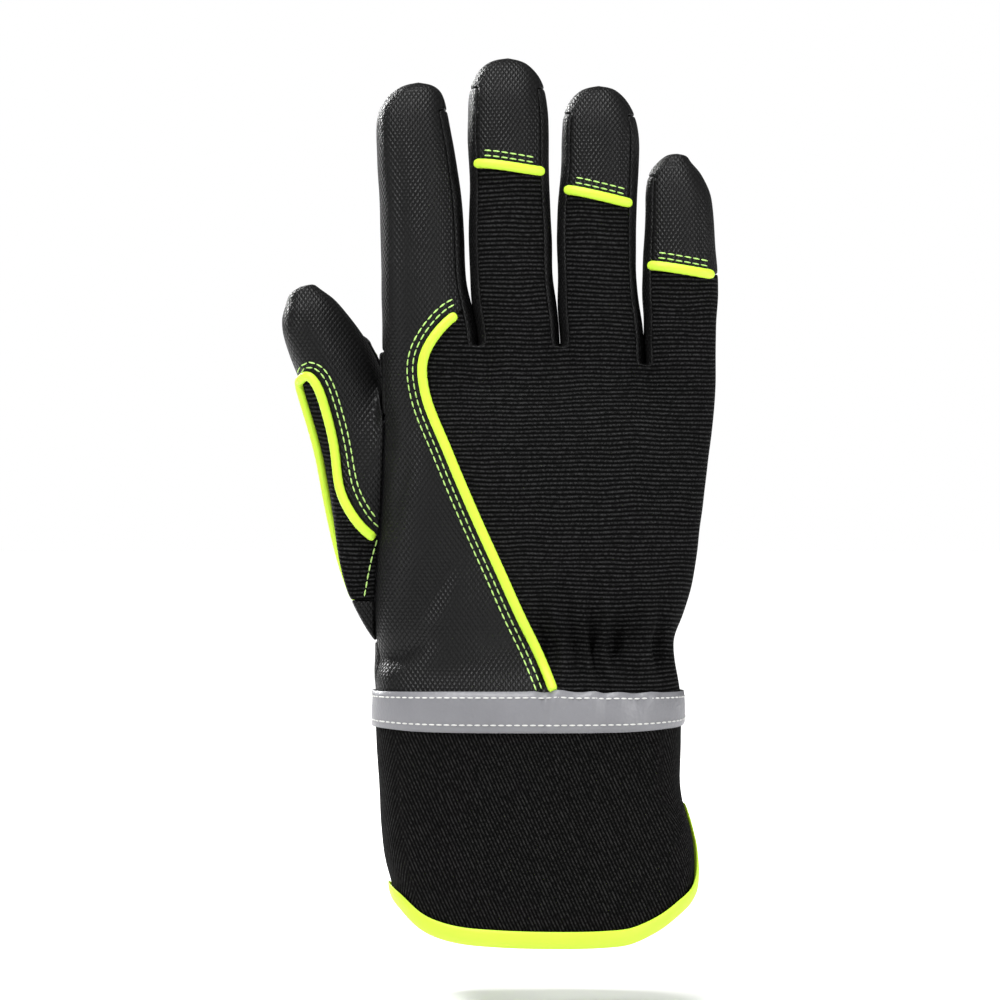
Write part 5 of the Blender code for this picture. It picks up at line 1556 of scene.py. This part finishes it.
class Wiring:
    """Short ways to add and join nodes in one tree."""

    def __init__(self, tree):
        self.tree = tree

    def node(self, kind, **settings):
        made = self.tree.nodes.new(kind)
        for key, value in settings.items():
            setattr(made, key, value)
        return made

    def join(self, source, target):
        self.tree.links.new(source, target)

    def feed(self, socket, value):
        """Sets a socket to a constant, or joins another socket to it."""
        if isinstance(value, (int, float, tuple)):
            socket.default_value = value
        else:
            self.join(value, socket)

    def math(self, operation, *values):
        made = self.node("ShaderNodeMath", operation=operation)
        for socket, value in zip(made.inputs, values):
            self.feed(socket, value)
        return made.outputs[0]

    def plus(self, a, b):
        return self.math("ADD", a, b)

    def minus(self, a, b):
        return self.math("SUBTRACT", a, b)

    def times(self, a, b):
        return self.math("MULTIPLY", a, b)

    def slope(self, value, steepness, start):
        """A value made steeper or flatter and moved to a start."""
        return self.math("MULTIPLY_ADD", value, steepness, start)

    def mix(self, share, a, b):
        """A number or a colour part-way between two."""
        colour = isinstance(a, tuple) or getattr(a, "type", "") == "RGBA"
        made = self.node("ShaderNodeMix", data_type="RGBA" if colour else "FLOAT")
        first = 6 if colour else 2
        for place, value in ((0, share), (first, a), (first + 1, b)):
            self.feed(made.inputs[place], value)
        return made.outputs[2 if colour else 0]

    def place(self):
        """Where a point lies in the glove's own axes."""
        return self.node("ShaderNodeTexCoord").outputs["Object"]

    def split(self, vector):
        """The three parts of a place or a direction."""
        made = self.node("ShaderNodeSeparateXYZ")
        self.join(vector, made.inputs[0])
        return made.outputs

    def group(self, tree):
        return self.node("ShaderNodeGroup", node_tree=tree).outputs

    def noise(self, vector, scale, detail=3.0, roughness=0.5):
        made = self.node("ShaderNodeTexNoise")
        titles = ("Vector", "Scale", "Detail", "Roughness")
        for title, value in zip(titles, (vector, scale, detail, roughness)):
            self.feed(made.inputs[title], value)
        return made.outputs["Fac"]

    def drift(self, vector, scale, reach, detail=3.0):
        """A slow wander to both sides, in metres."""
        return self.times(self.minus(self.noise(vector, scale, detail), 0.5), reach)


def shader_group(name, inputs, outputs, places=()):
    """A shader group to be filled: its wiring, its input values and its output sockets."""
    tree = bpy.data.node_groups.new(name, "ShaderNodeTree")
    for title, value in inputs.items():
        socket = tree.interface.new_socket(title, in_out="INPUT", socket_type="NodeSocketFloat")
        socket.default_value = value
    for kind, titles in (("NodeSocketFloat", outputs), ("NodeSocketVector", places)):
        for title in titles:
            tree.interface.new_socket(title, in_out="OUTPUT", socket_type=kind)
    given = tree.nodes.new("NodeGroupInput").outputs
    return Wiring(tree), given, tree.nodes.new("NodeGroupOutput").inputs


def fabric_axes():
    """A group that reads how far a point lies across the fabric and up it, and how it faces."""
    titles = ("Across", "Aside", "Turned", "Tipped", "Up")
    w, _, out = shader_group("fabric axes", {}, titles, ("Place",))
    place = w.place()
    split = w.split(place)
    facing = w.split(w.node("ShaderNodeNewGeometry").outputs["Normal"])
    for axis, title in (("X", "Turned"), ("Z", "Tipped")):
        past = w.minus(w.math("ABSOLUTE", facing[axis]), TURN_STARTS)
        share = w.math("MAXIMUM", w.times(past, TURN_STEEPNESS), 0.0)
        w.join(w.math("MINIMUM", share, 1.0), out[title])
    for axis, title in (("X", "Across"), ("Y", "Aside"), ("Z", "Up")):
        w.join(split[axis], out[title])
    w.join(place, out["Place"])
    return w.tree


def wave(w, at, pitch):
    """A smooth wave from 0 to 1 with a pitch in metres."""
    swing = w.math("SINE", w.math("DIVIDE", w.times(at, 2 * math.pi), pitch))
    return w.slope(swing, 0.5, 0.5)


def emboss_group(axes):
    """Small raised diamonds pressed into leather."""
    inputs = {"Pitch": EMBOSS_PITCH, "Lean": EMBOSS_LEAN}
    w, given, out = shader_group("diamond emboss", inputs, ("Height", "Grooves"))
    place = w.group(axes)
    wobble = w.drift(place["Place"], 35.0, EMBOSS_WOBBLE)
    sides = []
    for title, up in (("Across", "Up"), ("Aside", "Up"), ("Across", "Aside")):
        leaned = w.times(place[up], given["Lean"])
        across = w.plus(place[title], wobble)
        first = wave(w, w.plus(across, leaned), given["Pitch"])
        second = wave(w, w.minus(across, leaned), given["Pitch"])
        sides.append(w.math("POWER", w.math("MINIMUM", first, second), 0.5))
    upright = w.mix(place["Turned"], sides[0], sides[1])
    raised = w.mix(place["Tipped"], upright, sides[2])
    w.join(raised, out["Height"])
    w.join(w.minus(1.0, raised), out["Grooves"])
    return w.tree


def loose_fibres(w, place, scale, out):
    """Fuzz over a cloth: gives its mask to the group and returns its height."""
    fuzz = w.noise(place, scale, 2.0)
    w.join(w.math("SMOOTH_MIN", w.slope(fuzz, 4.0, -1.4), 1.0, 0.1), out["Fuzz"])
    return fuzz


def rib_group(axes):
    """Ribs of a knit running across, with their small loops."""
    inputs = {"Pitch": RIB_PITCH, "Loop": LOOP_PITCH}
    w, given, out = shader_group("knit rib", inputs, ("Height", "Ridge", "Fuzz"))
    place = w.group(axes)
    sway = w.drift(place["Place"], 28.0, RIB_SWAY, 2.0)
    ridge = w.math("POWER", wave(w, w.plus(place["Up"], sway), given["Pitch"]), 1.5)
    loops = wave(w, w.plus(place["Across"], w.times(sway, 1.4)), given["Loop"])
    fuzz = loose_fibres(w, place["Place"], 1500.0, out)
    height = w.times(ridge, w.slope(loops, 0.22, 0.78))
    w.join(w.plus(height, w.times(fuzz, 0.25)), out["Height"])
    w.join(ridge, out["Ridge"])
    return w.tree


def twill_group(axes):
    """Steep diagonal lines of a twill weave."""
    inputs = {"Pitch": TWILL_PITCH, "Slope": TWILL_SLOPE}
    w, given, out = shader_group("twill weave", inputs, ("Height", "Ridge", "Fuzz"))
    place = w.group(axes)
    leaned = w.times(place["Up"], given["Slope"])
    sway = w.times(w.noise(place["Place"], 90.0), TWILL_SWAY)
    at, aside = [w.plus(w.plus(place[title], leaned), sway) for title in ("Across", "Aside")]
    lines = w.mix(place["Turned"], wave(w, at, given["Pitch"]), wave(w, aside, given["Pitch"]))
    ridge = w.math("POWER", lines, 1.5)
    picks = wave(w, w.minus(place["Up"], w.times(at, 0.5)), PICK_PITCH)
    fuzz = loose_fibres(w, place["Place"], 1300.0, out)
    height = w.times(ridge, w.slope(picks, 0.35, 0.65))
    w.join(w.plus(height, w.times(fuzz, 0.3)), out["Height"])
    w.join(ridge, out["Ridge"])
    return w.tree


def grain_group():
    """Fine pebbled grain and soft patches of wear."""
    w, given, out = shader_group("fine grain", {"Scale": GRAIN_SCALE}, ("Height", "Patches"))
    place = w.place()
    cells = w.node("ShaderNodeTexVoronoi")
    w.join(place, cells.inputs["Vector"])
    w.join(given["Scale"], cells.inputs["Scale"])
    w.join(w.math("MINIMUM", cells.outputs["Distance"], 1.0), out["Height"])
    w.join(w.noise(place, 45.0, 4.0, 0.6), out["Patches"])
    return w.tree


def new_look(name, roughness, shine=None):
    """A material, its wiring and the inputs of its shader."""
    material = bpy.data.materials.new(name)
    material.use_nodes = True
    shader = material.node_tree.nodes["Principled BSDF"].inputs
    shader["Roughness"].default_value = roughness
    if shine is not None:
        shader["Specular IOR Level"].default_value = shine
    return material, Wiring(material.node_tree), shader


def add_bump(w, shader, height, distance):
    """Lets a height shape the normal that the shader reads."""
    bump = w.node("ShaderNodeBump")
    bump.inputs["Strength"].default_value = 1.0
    bump.inputs["Distance"].default_value = distance
    w.join(height, bump.inputs["Height"])
    w.join(bump.outputs["Normal"], shader["Normal"])


def leather_look(emboss, grain):
    material, w, shader = new_look("embossed_leather", 0.42, 0.12)
    press, pebble = w.group(emboss), w.group(grain)
    base = w.mix(pebble["Patches"], *LEATHER_COLOURS)
    # The emboss's grooves are painted near black: painted shade in them
    w.join(w.mix(press["Grooves"], base, LEATHER_GROOVE_SHADE), shader["Base Color"])
    matt = w.slope(press["Grooves"], 0.25, 0.26)
    w.join(w.slope(pebble["Patches"], 0.12, matt), shader["Roughness"])
    add_bump(w, shader, w.slope(pebble["Height"], 0.12, press["Height"]), EMBOSS_DEPTH)
    return material


def cloth_look(name, weave, colours, roughness, matt, depth):
    """Dark cloth with pale ridges and loose fibres, and painted shade in its furrows; colours of furrows,
    ridges and fibres.
    """
    material, w, shader = new_look(name, roughness, 0.03)
    woven = w.group(weave)
    furrow_shade, ridge, fibre = colours
    # The furrows between the ridges are painted near black: painted shade
    base = w.mix(woven["Ridge"], furrow_shade, ridge)
    w.join(w.mix(w.times(woven["Fuzz"], 0.8), base, fibre), shader["Base Color"])
    w.join(w.slope(woven["Ridge"], *matt), shader["Roughness"])
    add_bump(w, shader, woven["Height"], depth)
    return material


def plain_look(name, grain, dark, pale, roughness, depth, painted_glow):
    """Fabric of one colour in two near shades, with a fine grain and a little painted emission, its darker
    shade given off as light though it is no lamp.
    """
    material, w, shader = new_look(name, roughness, 0.3)
    # Painted light: the fabric gives off its darker shade as light, with no lamp
    shader["Emission Color"].default_value = dark
    shader["Emission Strength"].default_value = painted_glow
    pebble = w.group(grain)
    w.join(w.mix(pebble["Patches"], dark, pale), shader["Base Color"])
    w.join(w.slope(pebble["Patches"], 0.1, roughness), shader["Roughness"])
    add_bump(w, shader, pebble["Height"], depth)
    return material


def add_to_scene(name, data, place=(0, 0, 0), turn=(0, 0, 0)):
    obj = bpy.data.objects.new(name, data)
    obj.location = place
    obj.rotation_euler = turn
    bpy.context.scene.collection.objects.link(obj)
    return obj


def make_camera():
    camera = bpy.data.cameras.new("camera")
    camera.sensor_width = SENSOR
    camera.lens = SENSOR * CAMERA_DISTANCE / FRAME_WIDTH
    place = (CAMERA_X, -CAMERA_DISTANCE, CAMERA_Z)
    bpy.context.scene.camera = add_to_scene("camera", camera, place, (math.radians(90), 0, 0))


def add_area(name, place, aim, size, power):
    light = bpy.data.lights.new(name, "AREA")
    light.shape = "RECTANGLE"
    light.size, light.size_y = size
    light.energy = power
    turn = (Vector(aim) - Vector(place)).to_track_quat("-Z", "Y").to_euler()
    add_to_scene(name, light, place, turn)


def make_studio():
    world = bpy.data.worlds.new("studio")
    world.use_nodes = True
    w = Wiring(world.node_tree)
    sky = world.node_tree.nodes["Background"]
    seen = w.node("ShaderNodeLightPath").outputs["Is Camera Ray"]
    w.join(w.mix(seen, (AMBIENT, AMBIENT, AMBIENT, 1), (1, 1, 1, 1)), sky.inputs["Color"])
    bpy.context.scene.world = world
    bpy.context.scene.view_settings.view_transform = "Standard"
    sun = bpy.data.lights.new("soft overhead light", "SUN")
    sun.energy = SUN_STRENGTH
    sun.angle = SUN_SPREAD
    add_to_scene("soft overhead light", sun, turn=SUN_TURN)
    for row in LIGHTS:
        add_area(*row)
    bm = bmesh.new()
    bmesh.ops.create_grid(bm, x_segments=1, y_segments=1, size=FLOOR_SIZE)
    bmesh.ops.translate(bm, verts=bm.verts[:], vec=(0, 0, FLOOR_Z))
    mesh = mesh_of("floor", bm)
    material, w, shader = new_look("pale_floor", 0.8)
    w.join(w.mix(w.noise(w.place(), 3.0), *FLOOR_COLOURS), shader["Base Color"])
    mesh.materials.append(material)
    floor = add_to_scene("floor", mesh)


GLOVE = bpy.data.collections.new("insulated_mechanic_glove")
bpy.context.scene.collection.children.link(GLOVE)
AXES = fabric_axes()
GRAIN = grain_group()
LEATHER = leather_look(emboss_group(AXES), GRAIN)
KNIT = cloth_look("ribbed_knit", rib_group(AXES), KNIT_COLOURS, 0.85, (-0.15, 0.92), RIB_DEPTH)
TWILL = cloth_look("twill_cloth", twill_group(AXES), TWILL_COLOURS, 0.9, (-0.1, 0.93), TWILL_DEPTH)
PLAIN = {name: plain_look(name, GRAIN, *row) for name, row in PLAIN_FABRICS.items()}
PIPING, THREAD, WHITE_THREAD, TAPE, LINING = PLAIN.values()

make_camera()
make_studio()
SKIN = Shell()
finish_skin(SKIN)
cut_panels(SKIN)
LOOK_OF = {"cuff": (TWILL, "twill"), "back_panel": (KNIT, "knit"), "thumb_knit": (KNIT, "knit")}
SEWN = []
for number, name in enumerate(PANELS):
    look, slot = LOOK_OF.get(name, (LEATHER, "leather"))
    piece = make_panel(SKIN, number, look)
    SEWN.append(piece)
make_lining(SKIN)
OUTLINES = make_patches(SKIN)
LINES = make_pipings(SKIN)
make_binding(SKIN)
make_band(SKIN)
bpy.context.view_layer.update()
STITCH = one_stitch()
PATCHES = [bpy.data.objects[n + "_cloth"] for n in ("saddle_patch", "heel_pad", "thumb_patch")]
TOUCHED = Surfaces(SEWN + PATCHES)
stitch_patches(TOUCHED, PATCHES, OUTLINES)
stitch_back(TOUCHED, LINES)
stitch_band(SKIN)
SKIN.bm.free()
